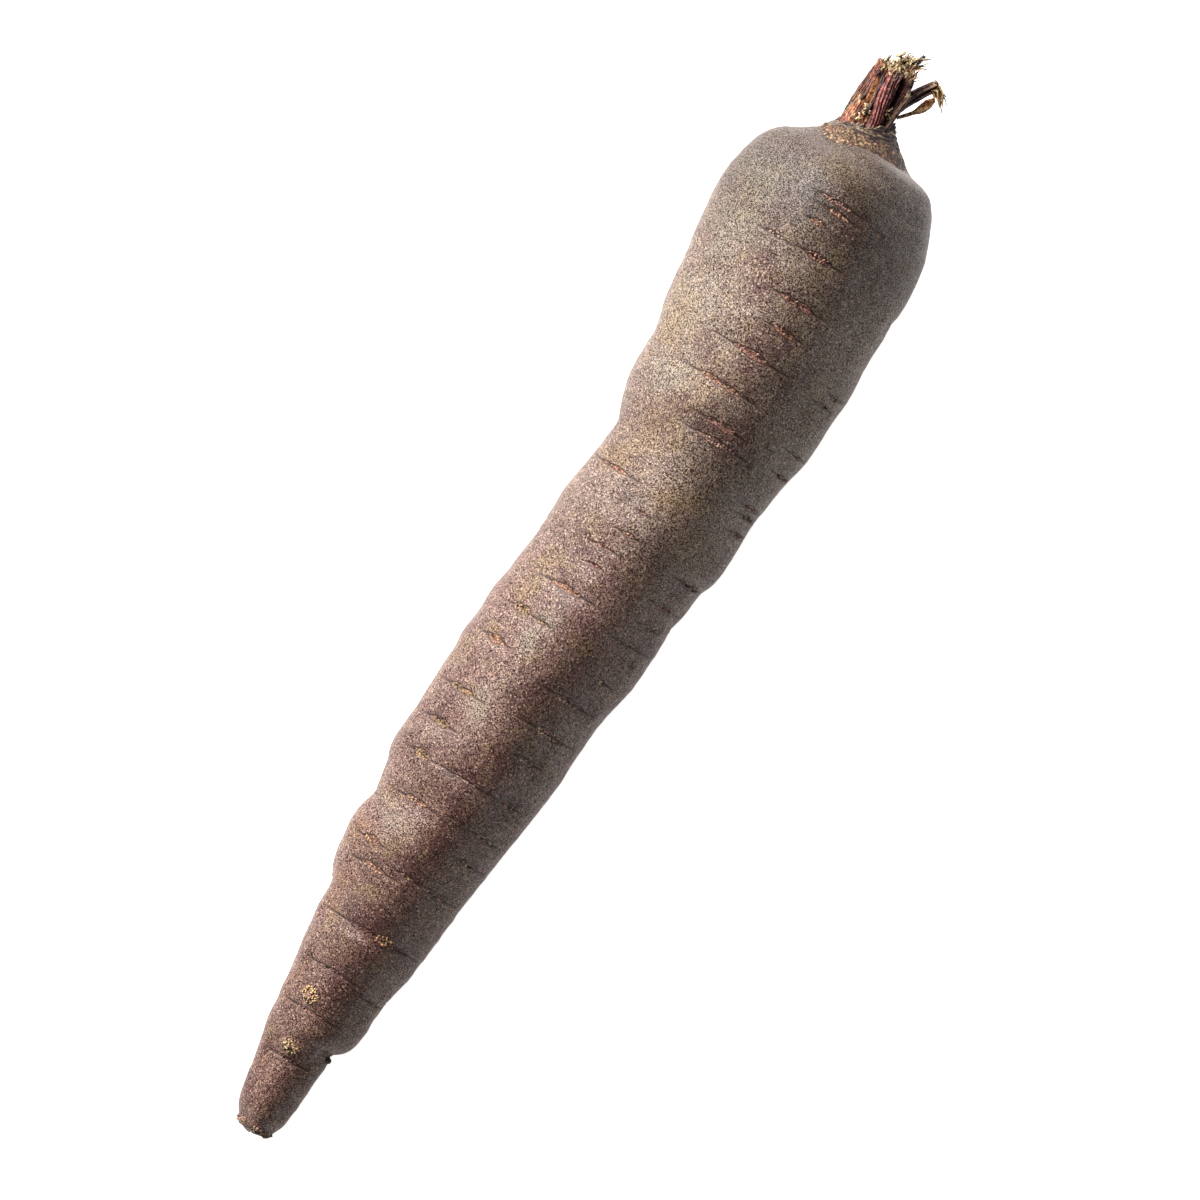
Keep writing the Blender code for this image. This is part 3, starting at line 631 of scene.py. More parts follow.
# Half a crumb's size along the root, round it and outwards.
SLIT_CRUMB_SIZE = (0.17, 0.22, 0.15)
SCAR_CRUMB_SIZE = (0.22, 0.24, 0.20)
TIP_CRUMB_SIZE = (0.22, 0.2, 0.2)
BARK = (0.06, 0.03, 0.02)
# The middle of a crumb is at least this high above the table.
CRUMB_CLEAR = 0.35
chance = np.random.default_rng(2469)

bpy.ops.object.select_all(action="DESELECT")
bpy.ops.mesh.primitive_ico_sphere_add(subdivisions=1, radius=1)
crumb = bpy.context.object
bpy.ops.object.mode_set(mode="EDIT")
bpy.ops.transform.vertex_random(offset=0.2, seed=5)
bpy.ops.object.mode_set(mode="OBJECT")


def built(name, points, faces, tints):
    """A piece of many bits, from its points in millimetres and its faces. Each point keeps its tint."""
    mesh = bpy.data.meshes.new(name)
    mesh.from_pydata((points.reshape(-1, 3) * MM).tolist(), [], faces)
    piece = bpy.data.objects.new(name, mesh)
    bpy.context.scene.collection.objects.link(piece)
    piece.data.shade_smooth()
    remember(piece, "tint", tints)
    return piece


def copied(name, pattern, origins, frames, tints):
    """Many copies of a small pattern as one piece. A frame's columns are the axes of a copy, with its
    size, in millimetres. Each copy keeps its own tint."""
    points = np.array([vert.co for vert in pattern.data.vertices])
    corners = [np.array(face.vertices) for face in pattern.data.polygons]
    placed = origins[:, None] + np.einsum("mij,nj->mni", frames, points)
    faces = [(corner + i * len(points)).tolist() for i in range(len(origins)) for corner in corners]
    return built(name, placed, faces, np.repeat(tints, len(points), axis=0))


def tumbled(count, radial, sizes):
    """Frames for crumbs that lie on the skin, each with its own size and a little turned."""
    along = np.array((1.0, 0.0, 0.0)) + chance.normal(0, 0.35, (count, 3))
    up = unit(radial + chance.normal(0, 0.3, (count, 3)))
    around = unit(np.cross(up, along))
    frames = np.stack((np.cross(around, up), around, up), axis=2)
    return frames * chance.uniform(0.6, 1.4, (count, 3))[:, None] * np.array(sizes)


def crumbs_at(at, turn, lift, sizes):
    """Where crumbs stand that lie on the skin at a place and turn, and their frames."""
    points, _ = skin(at, at, np.ones(len(at)), turn)
    radial = np.stack((np.zeros(len(at)), np.sin(turn), np.cos(turn)), axis=1)
    origins = points + radial * lift[:, None]
    origins[:, 2] = np.maximum(origins[:, 2], CRUMB_CLEAR)
    return origins, tumbled(len(at), radial, sizes)


def cork_tints(cork, count, spread=(0.35, 2.0)):
    """A crumb's own colour: that of its cork, lighter or darker, with some of bark and some pale."""
    tints = 0.60 * np.array(cork) * chance.uniform(*spread, (count, 1))
    tints = tints * chance.uniform(0.85, 1.15, (count, 3))
    dark, light = chance.random(count) < 0.22, chance.random(count) < 0.14
    tints[dark] = np.array(BARK) * chance.uniform(0.4, 1.4, (dark.sum(), 1))
    tints[light] = np.array(PINK_CORK) * chance.uniform(0.4, 0.8, (light.sum(), 1))
    return np.clip(tints, 0.01, 0.85)


def crumbled(name, batches):
    """One piece of crumbs, from batches of their places, frames and tints."""
    return copied(name, crumb, *(np.concatenate(part) for part in zip(*batches)))


batches = []
for slit in SLITS:
    count = int(2 * slit.length * slit.half_width * SLIT_CRUMBS)
    share = chance.uniform(-0.95, 0.95, count)
    scatter = chance.normal(0, 0.5, count).clip(-1.1, 1.1)
    at = slit.at + scatter * 1.25 * slit.half_width * np.sqrt(1 - share ** 2)
    far, near = flowing(FLANKS, at).T
    turn = math.radians(slit.middle) + CORK_SHARE * share * slit.length / (far + near)
    where, axes = crumbs_at(at, turn, chance.uniform(0.0, 0.16, count), SLIT_CRUMB_SIZE)
    batches.append((where, axes, cork_tints(slit.cork, count)))
slit_cork = crumbled("slit_cork", batches)

batches = []
for patch in SCARS:
    count = int(4 * patch.reach_along * patch.reach_across * SCAR_CRUMBS)
    reach, turn_in = np.sqrt(chance.random(count)), chance.uniform(0, 2 * math.pi, count)
    at = patch.at + patch.reach_along * reach * np.cos(turn_in)
    far, near = flowing(FLANKS, at).T
    turn = math.radians(patch.middle) + patch.reach_across * reach * np.sin(turn_in) * 2 / (far + near)
    where, axes = crumbs_at(at, turn, chance.uniform(-0.05, 0.22, count), SCAR_CRUMB_SIZE)
    batches.append((where, axes, cork_tints(patch.cork, count, (0.45, 1.9))))
scar_crumbs = crumbled("scar_crumbs", batches)

turn = chance.uniform(0, 2 * math.pi, TIP_CRUMBS)
level = chance.uniform(0.55, 1.0, TIP_CRUMBS) ** 0.6
tip_points, _ = skin(tip_end(level), np.zeros(TIP_CRUMBS), level, turn)
outward = unit(np.stack((-1.2 * np.sqrt(1.001 - level ** 2), np.sin(turn), np.cos(turn)), axis=1))
tip_points += outward * chance.uniform(-0.1, 0.15, TIP_CRUMBS)[:, None]
tip_points[:, 2] = np.maximum(tip_points[:, 2], CRUMB_CLEAR)
tip_crumbs = copied("tip_crumbs", crumb, tip_points, tumbled(TIP_CRUMBS, outward, TIP_CRUMB_SIZE),
                    cork_tints((0.62, 0.42, 0.24), TIP_CRUMBS, (0.35, 1.6)))
bpy.data.objects.remove(crumb)


def grained(name, size, detail, shades, roughs, bump):
    """A finish in the tint that each bit of a piece keeps, with a grain of that many millimetres. shades
    says where the grain starts and ends, and how dark and how light it is there."""
    finish = Finish(name)
    grain = finish.speckle(finish.place(), size, detail, 0.6)
    colour = finish.shaded(finish.kept("tint", "Color"), finish.step(grain, *shades))
    finish.coat(colour, finish.step(grain, 0.3, 0.7, *roughs), grain * bump)
    return finish


cork_finish = grained("crumbly_cork", 0.25, 3, (0.3, 0.7, 0.55, 1.25), (0.65, 0.85), 0.08)
for piece in (slit_cork, scar_crumbs, tip_crumbs):
    cork_finish.dress(piece)
    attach(piece, "root")


# The collar round the crown: the shrunken bases of many old leaves, ring on ring, brown and scaly, with a
# smooth grey sheath over its far side. Its foot grows out of the root's shoulder.
NECK_Z = 22.1
BUNDLE_Y = 4.4
# Distance from the tip, the ring's middle, its radius, and its share of the rim's slant.
COLLAR_RINGS = np.array((
    (228.8, 1.2, 0.0, 0.0), (228.4, 1.2, 6.0, 0.0), (227.8, 1.2, 10.6, 0.0), (228.4, 1.2, 11.2, 0.05),
    (229.2, 1.3, 10.6, 0.08), (230.0, 1.5, 9.8, 0.11), (230.8, 1.9, 9.0, 0.18), (231.6, 2.3, 8.2, 0.26),
    (232.4, 2.7, 7.4, 0.36), (233.2, 3.1, 6.7, 0.5), (233.9, 3.4, 6.15, 0.65), (234.5, 3.7, 5.75, 0.85),
    (235.0, 3.9, 5.5, 1.0), (235.3, 4.0, 5.3, 1.0), (235.1, 4.1, 5.1, 1.0), (234.2, 4.2, 4.8, 0.8),
    (233.6, 4.4, 3.0, 0.5), (233.6, 4.4, 0.0, 0.0),
))
RIM_SLANT = 0.32
FOLD_GAP = 0.62
# The collar's skin is bumpy outside this radius, and smooth inside the rim.
RIM_RADIUS = 4.9
# Inside this radius, above its foot, the collar is a hollow, which the stalks stand in; its dark is
# painted shade.
HOLLOW_RADIUS = 5.2
HOLLOW_FOOT = 233
# Above this place the scales give way to the fine rings of old leaf bases.
FINE_RINGS_AT = 231.8
# The sheath's middle in degrees, half its width in radians and how softly it ends, and its foot.
SHEATH_TURN, SHEATH_HALF, SHEATH_FADE, SHEATH_FOOT = 92, 0.45, 0.4, 230.6
COLLAR_COLUMNS = 170
COLLAR_STEPS = 150


def collar_point(ring, turn, raised=0.0):
    """Points of the collar in millimetres in the part's frame, for rings given by their own numbers."""
    along, middle, radius, slant = ring.T
    flat = np.stack((along * 1.0, 12 * np.sin(turn), 12 * np.cos(turn)), axis=1)
    open_skin = np.clip((radius - RIM_RADIUS) / 0.7, 0, 1)
    height = np.clip((along - 232.0) / 2.0, 0, 1)
    folds = np.sin(2 * math.pi * along / FOLD_GAP + 1.8 * drift(flat, 5.0, 21))
    folds = folds * (0.5 + 0.5 * drift(flat, 3.0, 22))
    rough = 0.22 * drift(flat * (1, 0.8, 0.8), 1.1, 23) + 0.16 * drift(flat, 0.55, 24)
    rough = rough + 0.3 * drift(flat, 5.0, 25)
    sheath = sheathed(along, turn)
    bumps = 0.24 * height * folds + rough * (1 - 0.5 * height)
    radius = radius + raised + open_skin * (bumps * (1 - 0.8 * sheath) + 0.16 * sheath)
    across = middle + radius * np.sin(turn)
    wave = 0.35 * np.sin(7 * turn) * np.cos(3 * turn) + 0.5 * drift(flat * (0, 1, 1), 1.0, 26)
    dip = 1.7 * np.clip(np.cos(turn - 0.6), 0, 1) ** 0.7
    along = along - slant * (RIM_SLANT * (across - BUNDLE_Y) + dip) + wave * np.clip(slant * 4 - 3, 0, 1)
    return np.stack((TIP_X + along, AXIS_Y + across, NECK_Z + radius * np.cos(turn)), axis=1)


def sheathed(along, turn):
    """How far the smooth grey sheath covers the collar, from 0 to 1: its far side, down to the root."""
    off = np.clip(np.abs(turned(turn, SHEATH_TURN)) - SHEATH_HALF, 0, None) / SHEATH_FADE
    foot = SHEATH_FOOT + 1.2 * (1 - np.cos(turned(turn, 100))) + 0.25 * np.sin(9 * turn)
    return np.clip(1.0 - off * off, 0, 1) * np.clip((along - foot) / 0.5, 0, 1)


steps = np.linspace(0, len(COLLAR_RINGS) - 1, COLLAR_STEPS)
stations = np.column_stack((np.arange(len(COLLAR_RINGS)), COLLAR_RINGS))
collar_rows = flowing(stations, steps)
collar_rows[:, 2] = np.maximum(collar_rows[:, 2], 0)
collar_rows[[0, -1], 2] = 0
collar, turn, row = ringed("leaf_base_collar", COLLAR_COLUMNS, collar_rows)
settle(collar, collar_point(row, turn))
remember(collar, "sheath", sheathed(row[:, 0], turn))
remember(collar, "hollow", np.clip((HOLLOW_RADIUS - row[:, 2]) / 0.4, 0, 1) * (row[:, 0] > HOLLOW_FOOT))
remember(collar, "upper", np.clip((row[:, 0] - FINE_RINGS_AT) / 1.6, 0, 1))
remember(collar, "side", 0.5 + 0.5 * np.sin(turn))
# Where a place lies on the collar before the rim is slanted, for rings that run along the rim.
remember(collar, "lay", np.stack((row[:, 0] - 230, 0.6 * np.cos(turn), 0.6 * np.sin(turn)), axis=1))

collar_finish = Finish("scaly_leaf_bases")
place = collar_finish.place()
scales = collar_finish.speckle(place, 0.62, 2, 0.65)
patchy = collar_finish.speckle(place, 3.0, 4, 0.6)
flecks = collar_finish.speckle(collar_finish.stretched(place, (1.0, 0.5, 0.5)), 0.5, 1, 0.6)
rings = collar_finish.noise(collar_finish.kept("lay", "Vector"), 2.5, 3.0, 0.6)
# Painted light and shade: the collar is lighter and browner towards the far side, which faces the lights,
# and darker and redder on the near side.
painted_far_side_light = collar_finish.step(collar_finish.kept("side") + (patchy - 0.5) * 1.2, 0.3, 0.75)
colour = collar_finish.blend(painted_far_side_light, (0.13, 0.042, 0.036), (0.24, 0.11, 0.050))
colour = collar_finish.stained(colour, (0.19, 0.15, 0.07), patchy, 0.51, 0.60, 0.6)
colour = collar_finish.stained(colour, (0.52, 0.33, 0.17), scales, 0.55, 0.61, 0.9)
colour = collar_finish.stained(colour, (0.016, 0.007, 0.006), scales, 0.50, 0.44, 0.95)
band = collar_finish.stained((0.012, 0.006, 0.005), (0.13, 0.080, 0.055), rings, 0.47, 0.57)
band = collar_finish.stained(band, (0.60, 0.46, 0.30), rings, 0.60, 0.65, 0.9)
upper = collar_finish.kept("upper") + (patchy - 0.5) * 0.8
colour = collar_finish.stained(colour, band, upper, 0.35, 0.6, 0.9)
sheath_tone = collar_finish.stained((0.13, 0.098, 0.070), (0.20, 0.145, 0.100), patchy, 0.40, 0.60)
covered = collar_finish.kept("sheath") + (patchy - 0.5) * 0.5 + (scales - 0.5) * 0.5
colour = collar_finish.stained(colour, sheath_tone, covered, 0.35, 0.65)
colour = collar_finish.shaded(colour, collar_finish.step(flecks, 0.36, 0.60, 0.30, 1.1))
# Painted shade: the hollow where the stalks stand is coloured near black.
colour = collar_finish.blend(collar_finish.kept("hollow"), colour, (0.02, 0.009, 0.008))
collar_finish.coat(colour, collar_finish.step(scales, 0.3, 0.7, 0.5, 0.7),
                   scales * 0.35 + rings * 0.25 + flecks * 0.2)
collar_finish.dress(collar)
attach(collar, "root")
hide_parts("crown_collar")

# The loose scales on it: torn scraps of leaf base, up to a millimetre long, their tips curled up. They
# grow on some of the collar's rings. Half their length and width are drawn between two sizes.
SCALES = 1500
SCALE_RINGS = (3.3, 12.4)
SCALE_LENGTHS = (0.18, 0.52)
SCALE_WIDTHS = (0.10, 0.26)
SCALE_LIFT = 0.22
SCALE_TONES = np.array(((0.56, 0.38, 0.20), (0.36, 0.19, 0.08), (0.17, 0.07, 0.04), (0.26, 0.075, 0.06),
                        (0.05, 0.025, 0.02), (0.22, 0.18, 0.11)))
SCALE_SHARES = (0.2, 0.24, 0.18, 0.14, 0.16, 0.08)
bpy.ops.object.select_all(action="DESELECT")
bpy.ops.mesh.primitive_plane_add(size=2)
scale = bpy.context.object
bpy.ops.object.mode_set(mode="EDIT")
bpy.ops.mesh.subdivide(number_cuts=2)
bpy.ops.object.mode_set(mode="OBJECT")
for vert in scale.data.vertices:
    x, y = vert.co.x, vert.co.y
    vert.co.y = y * (1 - 0.35 * (x + 0.4) ** 2)
    vert.co.z = 0.25 * (x + 1) ** 2 - 0.35 * y * y + 0.1 * math.sin(9 * x + 5 * y)
thick = scale.modifiers.new("thick", "SOLIDIFY")
thick.thickness = 0.22
bpy.context.view_layer.objects.active = scale
bpy.ops.object.modifier_apply(modifier=thick.name)

pick = chance.uniform(*SCALE_RINGS, SCALES)
row = flowing(stations, pick)
turn = chance.uniform(0, 2 * math.pi, SCALES)
here = collar_point(row, turn, -0.05)
ahead = unit(collar_point(flowing(stations, pick + 0.4), turn, -0.05) - here)
up = np.stack((np.full(SCALES, 0.35), np.sin(turn), np.cos(turn)), axis=1)
aside = unit(np.cross(up, ahead) + chance.normal(0, 0.35, (SCALES, 3)))
lifted = np.cross(ahead, aside)
frames = np.stack((np.cross(aside, lifted), aside, lifted), axis=2)
long, broad = chance.uniform(*SCALE_LENGTHS, SCALES), chance.uniform(*SCALE_WIDTHS, SCALES)
frames = frames * np.stack((long, broad, np.full(SCALES, SCALE_LIFT)), axis=1)[:, None]
tints = SCALE_TONES[chance.choice(len(SCALE_TONES), SCALES, p=SCALE_SHARES)]
# Painted shade: each scale is darker the nearer it lies to the near side, away from the lights.
tints *= (0.72 + 0.28 * np.sin(turn))[:, None]
tints = tints * chance.uniform(0.35, 0.95, (SCALES, 1))
lower = np.clip((233.2 - row[:, 0]) / 2.0, 0.12, 1)
keep = np.maximum(sheathed(row[:, 0], turn), 1 - lower) < chance.uniform(0.0, 0.9, SCALES)
loose_scales = copied("collar_scales", scale, here[keep], frames[keep], tints[keep])
bpy.data.objects.remove(scale)
grained("dry_scraps", 0.3, 3, (0.3, 0.7, 0.5, 1.35), (0.5, 0.7), 0.1).dress(loose_scales)
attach(loose_scales, "root")


# The leaf stalks. They stand in a ring in the collar and were cut off a finger's breadth above it. They
# have dried: their flesh has shrunk between the ribs, and their skins shine orange, maroon and brown.
class RingStalk(NamedTuple):
    """A stalk in the ring about the bundle's axis: its turn and half spread at foot and cut in degrees,
    its inner and outer radius, where it was cut, and its colours from the painted shade of its grooves to
    the painted highlights of its ribs."""

    foot_turn: float
    cut_turn: float
    foot_spread: float
    cut_spread: float
    inner: float
    outer: float
    cut: float
    colours: tuple


# A stalk's colours: the painted shade of its grooves, its own colour, and the painted highlight of its
# ribs.
ORANGE = ((0.040, 0.007, 0.006), (0.25, 0.055, 0.024), (0.62, 0.29, 0.12))
RUST = ((0.040, 0.007, 0.005), (0.27, 0.072, 0.022), (0.47, 0.21, 0.07))
MAROON = ((0.014, 0.003, 0.004), (0.125, 0.021, 0.020), (0.35, 0.115, 0.090))
DARK = ((0.012, 0.003, 0.004), (0.078, 0.017, 0.018), (0.24, 0.085, 0.070))
DUSKY = ((0.012, 0.004, 0.004), (0.085, 0.024, 0.022), (0.27, 0.12, 0.09))
BROWN = ((0.018, 0.008, 0.006), (0.085, 0.038, 0.023), (0.25, 0.14, 0.085))
STRAWY = ((0.050, 0.028, 0.012), (0.26, 0.18, 0.080), (0.45, 0.36, 0.20))
AMBER = ((0.40, 0.085, 0.035), (1.0, 0.42, 0.15), (1.0, 0.78, 0.42))

RING_STALKS = {
    "stalk_far": RingStalk(50, 62, 36, 16, 1.8, 4.75, 247.2, ORANGE),
    "stalk_open": RingStalk(6, 37, 13, 11, 2.0, 4.8, 246.4, RUST),
    "stalk_middle": RingStalk(-31, -3, 24, 23, 1.9, 5.05, 246.8, MAROON),
    "stalk_near": RingStalk(-70, -58, 16, 15, 1.9, 4.8, 246.8, DARK),
    "stalk_under_near": RingStalk(-160, -158, 25, 21, 1.8, 4.85, 244.6, DARK),
    "stalk_under_far": RingStalk(149, 148, 24, 20, 1.8, 4.95, 245.4, MAROON),
    "stalk_side": RingStalk(106, 107, 20, 15, 1.9, 4.7, 245.9, ORANGE),
}
STALK_FOOT = 231.7
# About how far the dried flesh swells, in millimetres.
FLESH_SWELL = 0.2
STALK_COLUMNS = 140
STALK_STEPS = 70
# How high the ribs stand, and how far apart they are as a share of half the stalk's width.
RIB_RISE = 0.12
RIB_GAP = 0.25
# More of the columns go to the broad faces, where the ribs are.
COLUMN_SHIFT = 0.35
# A stalk in the ring thins towards its cut.
THINNING = 0.12
# The open stalk is hollow at its cut, and has a dent in its upper face: its place as a share of the
# stalk's length, its reach along as such a share, its reach round in radians, and its depth.
OPEN_DEPTH = 3.0
DENT_AT, DENT_ALONG, DENT_ROUND, DENT_DEPTH = 0.9, 0.09, 0.55, 1.1


def stalk_rows(hollow=0.0):
    """Rows of a stalk as its share of the length and of the section. A hollow cut goes back in."""
    rows = [(0.0, 0.0), (0.0, 0.5), (0.0, 0.85), (0.01, 1.0)]
    rows += [(0.02 + 0.95 * i / STALK_STEPS, 1.0) for i in range(STALK_STEPS + 1)]
    if hollow:
        rows += [(1.0, 0.9), (0.99, 0.75), (0.95, 0.66), (1 - hollow, 0.6), (1 - hollow, 0.0)]
    else:
        rows += [(0.985, 0.97), (1.0, 0.88), (1.0, 0.6), (0.995, 0.3), (0.995, 0.0)]
    return np.array(rows)


def shrivelled(turn, share, length, seed):
    """How dried flesh swells and sinks round a stalk, in millimetres: ribs along it, some of them fine."""
    sway = turn + 0.25 * np.sin(4.0 * share + seed)
    lay = np.stack((np.cos(sway) * 1.6, np.sin(sway) * 1.6, share * length / 8.0), axis=1)
    swell = 0.26 * drift(lay, 0.85, seed) + 0.17 * drift(lay, 0.42, seed + 1)
    swell = swell + 0.08 * drift(lay * (1, 1, 1.5), 0.24, seed + 2)
    return swell + 0.06 * drift(lay * (1, 1, 9), 0.6, seed + 3)


def fuller(value):
    """A sine or cosine drawn towards 1 and -1, which squares a round section up."""
    return np.sign(value) * np.abs(value) ** 0.75


def jagged(turn, share, size, height, back, grain, seed):
    """How far a stalk stands on at each place of its last eighth, in millimetres: its cut isn't clean."""
    jag = drift(np.stack((np.cos(turn) * 2, np.sin(turn) * 2, 0 * turn), axis=1), grain, seed + 3)
    return np.clip(share * 8 - 7, 0, 1) * (height * jag - back) * size


def keep_lay(piece, turn, share, length, relief_shading, seed):
    """Keeps how a stalk's fibres run, its relief shading (painted shade in its grooves and hollows,
    painted highlights on its ribs), and each place's share of its length.
    """
    sway = turn + 0.25 * np.sin(4.0 * share + seed)
    lay = np.stack((np.cos(sway) * 1.6 + seed, np.sin(sway) * 1.6, share * length * 0.12), axis=1)
    remember(piece, "lay", lay)
    remember(piece, "relief_shading", relief_shading)
    remember(piece, "share", share)


def stalk_finish(name, colours):
    """Dried stalk skin: painted shade in the grooves and painted highlights along the ribs, with fine
    streaks and straw ends.
    """
    finish = Finish(name)
    lay = finish.kept("lay", "Vector")
    streak = finish.noise(lay, 3.4, 3.0, 0.7)
    broad = finish.noise(lay, 0.9, 2.0, 0.5)
    speck = finish.speckle(finish.place(), 0.55, 1, 0.6)
    # Painted light and shade follow the relief, mixed with the skin's own streaks and specks.
    lit = finish.kept("relief_shading") + (streak - 0.5) * 3.8 + (broad - 0.5) * 1.8 + (speck - 0.5) * 1.2
    colour = finish.stained(colours[0], colours[1], lit, -0.85, -0.05)
    colour = finish.stained(colour, colours[2], lit, 0.15, 1.0)
    torn_end = finish.kept("share") + (streak - 0.5) * 0.3
    colour = finish.stained(colour, (0.36, 0.26, 0.13), torn_end, 0.93, 1.02, 0.75)
    colour = finish.shaded(colour, finish.step(speck, 0.34, 0.66, 0.45, 1.5))
    finish.coat(colour, finish.step(streak, 0.3, 0.7, 0.34, 0.6), streak * 0.5 + speck * 0.08)
    return finish


def put_on(name, piece, colours):
    """Puts a stalk in the place of its node, in its own finish."""
    stalk_finish("dried_" + name, colours).dress(piece)
    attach(piece, "root")
    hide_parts(name)


def beside_bundle(along, turn, radius):
    """Points at a turn and distance from the bundle's axis, in millimetres in the part's frame."""
    across, up = radius * np.sin(turn), radius * np.cos(turn)
    return np.stack((TIP_X + along, AXIS_Y + BUNDLE_Y + across, NECK_Z + up), axis=-1)


# Where each stalk ends and which way it points there, for the strands torn out of it.
STALK_ENDS = {}
for seed, (name, stalk) in enumerate(RING_STALKS.items(), 30):
    span = stalk.cut - STALK_FOOT
    rows = stalk_rows(OPEN_DEPTH / span if name == "stalk_open" else 0.0)
    piece, turn, row = ringed("dried_" + name, STALK_COLUMNS, rows)
    turn = turn - COLUMN_SHIFT * np.sin(2 * turn)
    share, size = row.T
    middle, half = (stalk.inner + stalk.outer) / 2, (stalk.outer - stalk.inner) / 2
    swell = shrivelled(turn, share, span, seed)
    rise, side = fuller(np.cos(turn)), fuller(np.sin(turn))
    lay = np.stack((0.3 * share * span, 2 * side, 0 * side + seed), axis=1)
    weave = side + 0.05 * np.sin(5.0 * share + seed) + 0.09 * drift(lay, 1.1, seed + 4)
    ribs = RIB_RISE * np.cos(2 * math.pi * weave / RIB_GAP) * (0.75 + 0.5 * drift(lay, 0.8, seed + 5))
    ribs = ribs * np.maximum(rise, 0) * np.clip(4 * share, 0.3, 1)
    dent = np.exp(-((share - DENT_AT) / DENT_ALONG) ** 2 - (turned(turn, 0) / DENT_ROUND) ** 2)
    dent = dent * (name == "stalk_open")
    relief = (ribs + 0.8 * swell - DENT_DEPTH * dent) * np.sign(rise) * np.abs(rise) ** 0.5
    out = middle + size * (half * (1 - THINNING * share * share) * rise + relief)
    spread = np.radians(stalk.foot_spread + (stalk.cut_spread - stalk.foot_spread) * share)
    lean = np.radians(stalk.foot_turn + (stalk.cut_turn - stalk.foot_turn) * share)
    bow = 0.05 * drift(np.stack((share * span, 0 * share + seed, 0 * share), axis=1), 4.0, seed)
    at = lean + bow + size * (spread + 0.05 * swell / FLESH_SWELL) * side
    along = STALK_FOOT + span * share + jagged(turn, share, size, 0.55, 0.3, 0.5, seed)
    settle(piece, beside_bundle(along, at, out))
    # Relief shading: painted shade in the grooves and the dent, painted highlights on the ribs.
    relief_shading = (2.0 * ribs / RIB_RISE + swell / FLESH_SWELL) * 0.45 - 4.0 * dent
    # Painted shade: the inside of the open stalk's hollow cut takes its darkest colour.
    if name == "stalk_open":
        relief_shading = np.where((share > 0.7) & (size < 0.86), -3.0, relief_shading)
    keep_lay(piece, turn, share, span, relief_shading, 3.0 * seed)
    put_on(name, piece, stalk.colours)
    end = beside_bundle(stalk.cut, math.radians(stalk.cut_turn), middle)
    STALK_ENDS[name] = (end, np.array((1.0, 0.0, 0.0)))


class FreeStalk(NamedTuple):
    """A stem that runs free of the ring: along, across, height and radius at points of its middle line,
    how many ribs it has, how flat it is, and its colours."""

    points: tuple
    ribs: int
    flat: float
    colours: tuple


FREE_STALKS = {
    "stalk_heart": FreeStalk(
        ((233.1, 4.4, 22.1, 1.3), (239, 4.4, 22.1, 1.6), (245, 4.3, 22.3, 1.6),
         (249.4, 3.0, 22.9, 1.1)), 7, 1.0, STRAWY),
    "stalk_bent": FreeStalk(
        ((233.1, 1.1, 20.7, 0.9), (237, 1.0, 20.6, 1.0), (240.5, 0.3, 20.5, 1.05),
         (244.0, -1.2, 20.6, 1.2), (248.8, -4.1, 20.9, 1.15)), 7, 1.0, DUSKY),
    "stalk_thin": FreeStalk(
        ((234.2, 0.3, 26.3, 0.3), (236.6, 0.0, 26.1, 0.42), (239, -0.1, 25.9, 0.48),
         (241.2, -0.2, 25.6, 0.5), (243.8, -0.4, 25.3, 0.42)), 5, 1.0, BROWN),
    "leaf_shred": FreeStalk(
        ((238.8, -0.6, 21.0, 0.35), (240.0, -1.6, 20.2, 0.37), (241.6, -2.9, 19.5, 0.42),
         (243.0, -3.8, 19.1, 0.85), (244.6, -4.5, 19.0, 0.95), (246.2, -5.1, 18.9, 0.35)), 3, 0.45, AMBER),
}


FREE_COLUMNS = 48
# About how long the free stalks are, which spaces their wrinkles and streaks.
FREE_LENGTH = 14.0


def free_points(stalk, share, size, turn, swell):
    """Points of a stem that follows its own line, in millimetres in the part's frame."""
    line = np.array(stalk.points)
    stations = np.column_stack((np.linspace(0, 1, len(line)), line))
    middle, ahead = flowing(stations, share), flowing(stations, np.minimum(share + 0.02, 1.0))
    behind = flowing(stations, np.maximum(share - 0.02, 0.0))
    forward = unit(ahead[:, :3] - behind[:, :3])
    side = unit(np.cross(forward, (0.0, 0.0, 1.0)))
    up = np.cross(side, forward)
    radius = size * (middle[:, 3] * (1 + 0.11 * np.cos(stalk.ribs * turn)) + swell * middle[:, 3] / 1.4)
    offset = side * (radius * np.sin(turn))[:, None] + up * (radius * stalk.flat * np.cos(turn))[:, None]
    return middle[:, :3] + offset + np.array((TIP_X, AXIS_Y, 0.0)), forward


for seed, (name, stalk) in enumerate(FREE_STALKS.items(), 60):
    piece, turn, row = ringed("dried_" + name, FREE_COLUMNS, stalk_rows())
    share, size = row.T
    swell = shrivelled(turn, share, FREE_LENGTH, seed)
    points, forward = free_points(stalk, share, size, turn, swell)
    points += forward * jagged(turn, share, size, 0.5, 0.25, 0.6, seed)[:, None]
    settle(piece, points)
    # Relief shading: painted shade between the ribs, painted highlights on them.
    relief_shading = (np.cos(stalk.ribs * turn) + swell / FLESH_SWELL) * 0.45
    keep_lay(piece, turn, share, FREE_LENGTH, relief_shading, 3.0 * seed)
    put_on(name, piece, stalk.colours)
    end, forward = free_points(stalk, np.array((1.0,)), np.zeros(1), np.zeros(1), np.zeros(1))
    STALK_ENDS[name] = (end[0], forward[0])


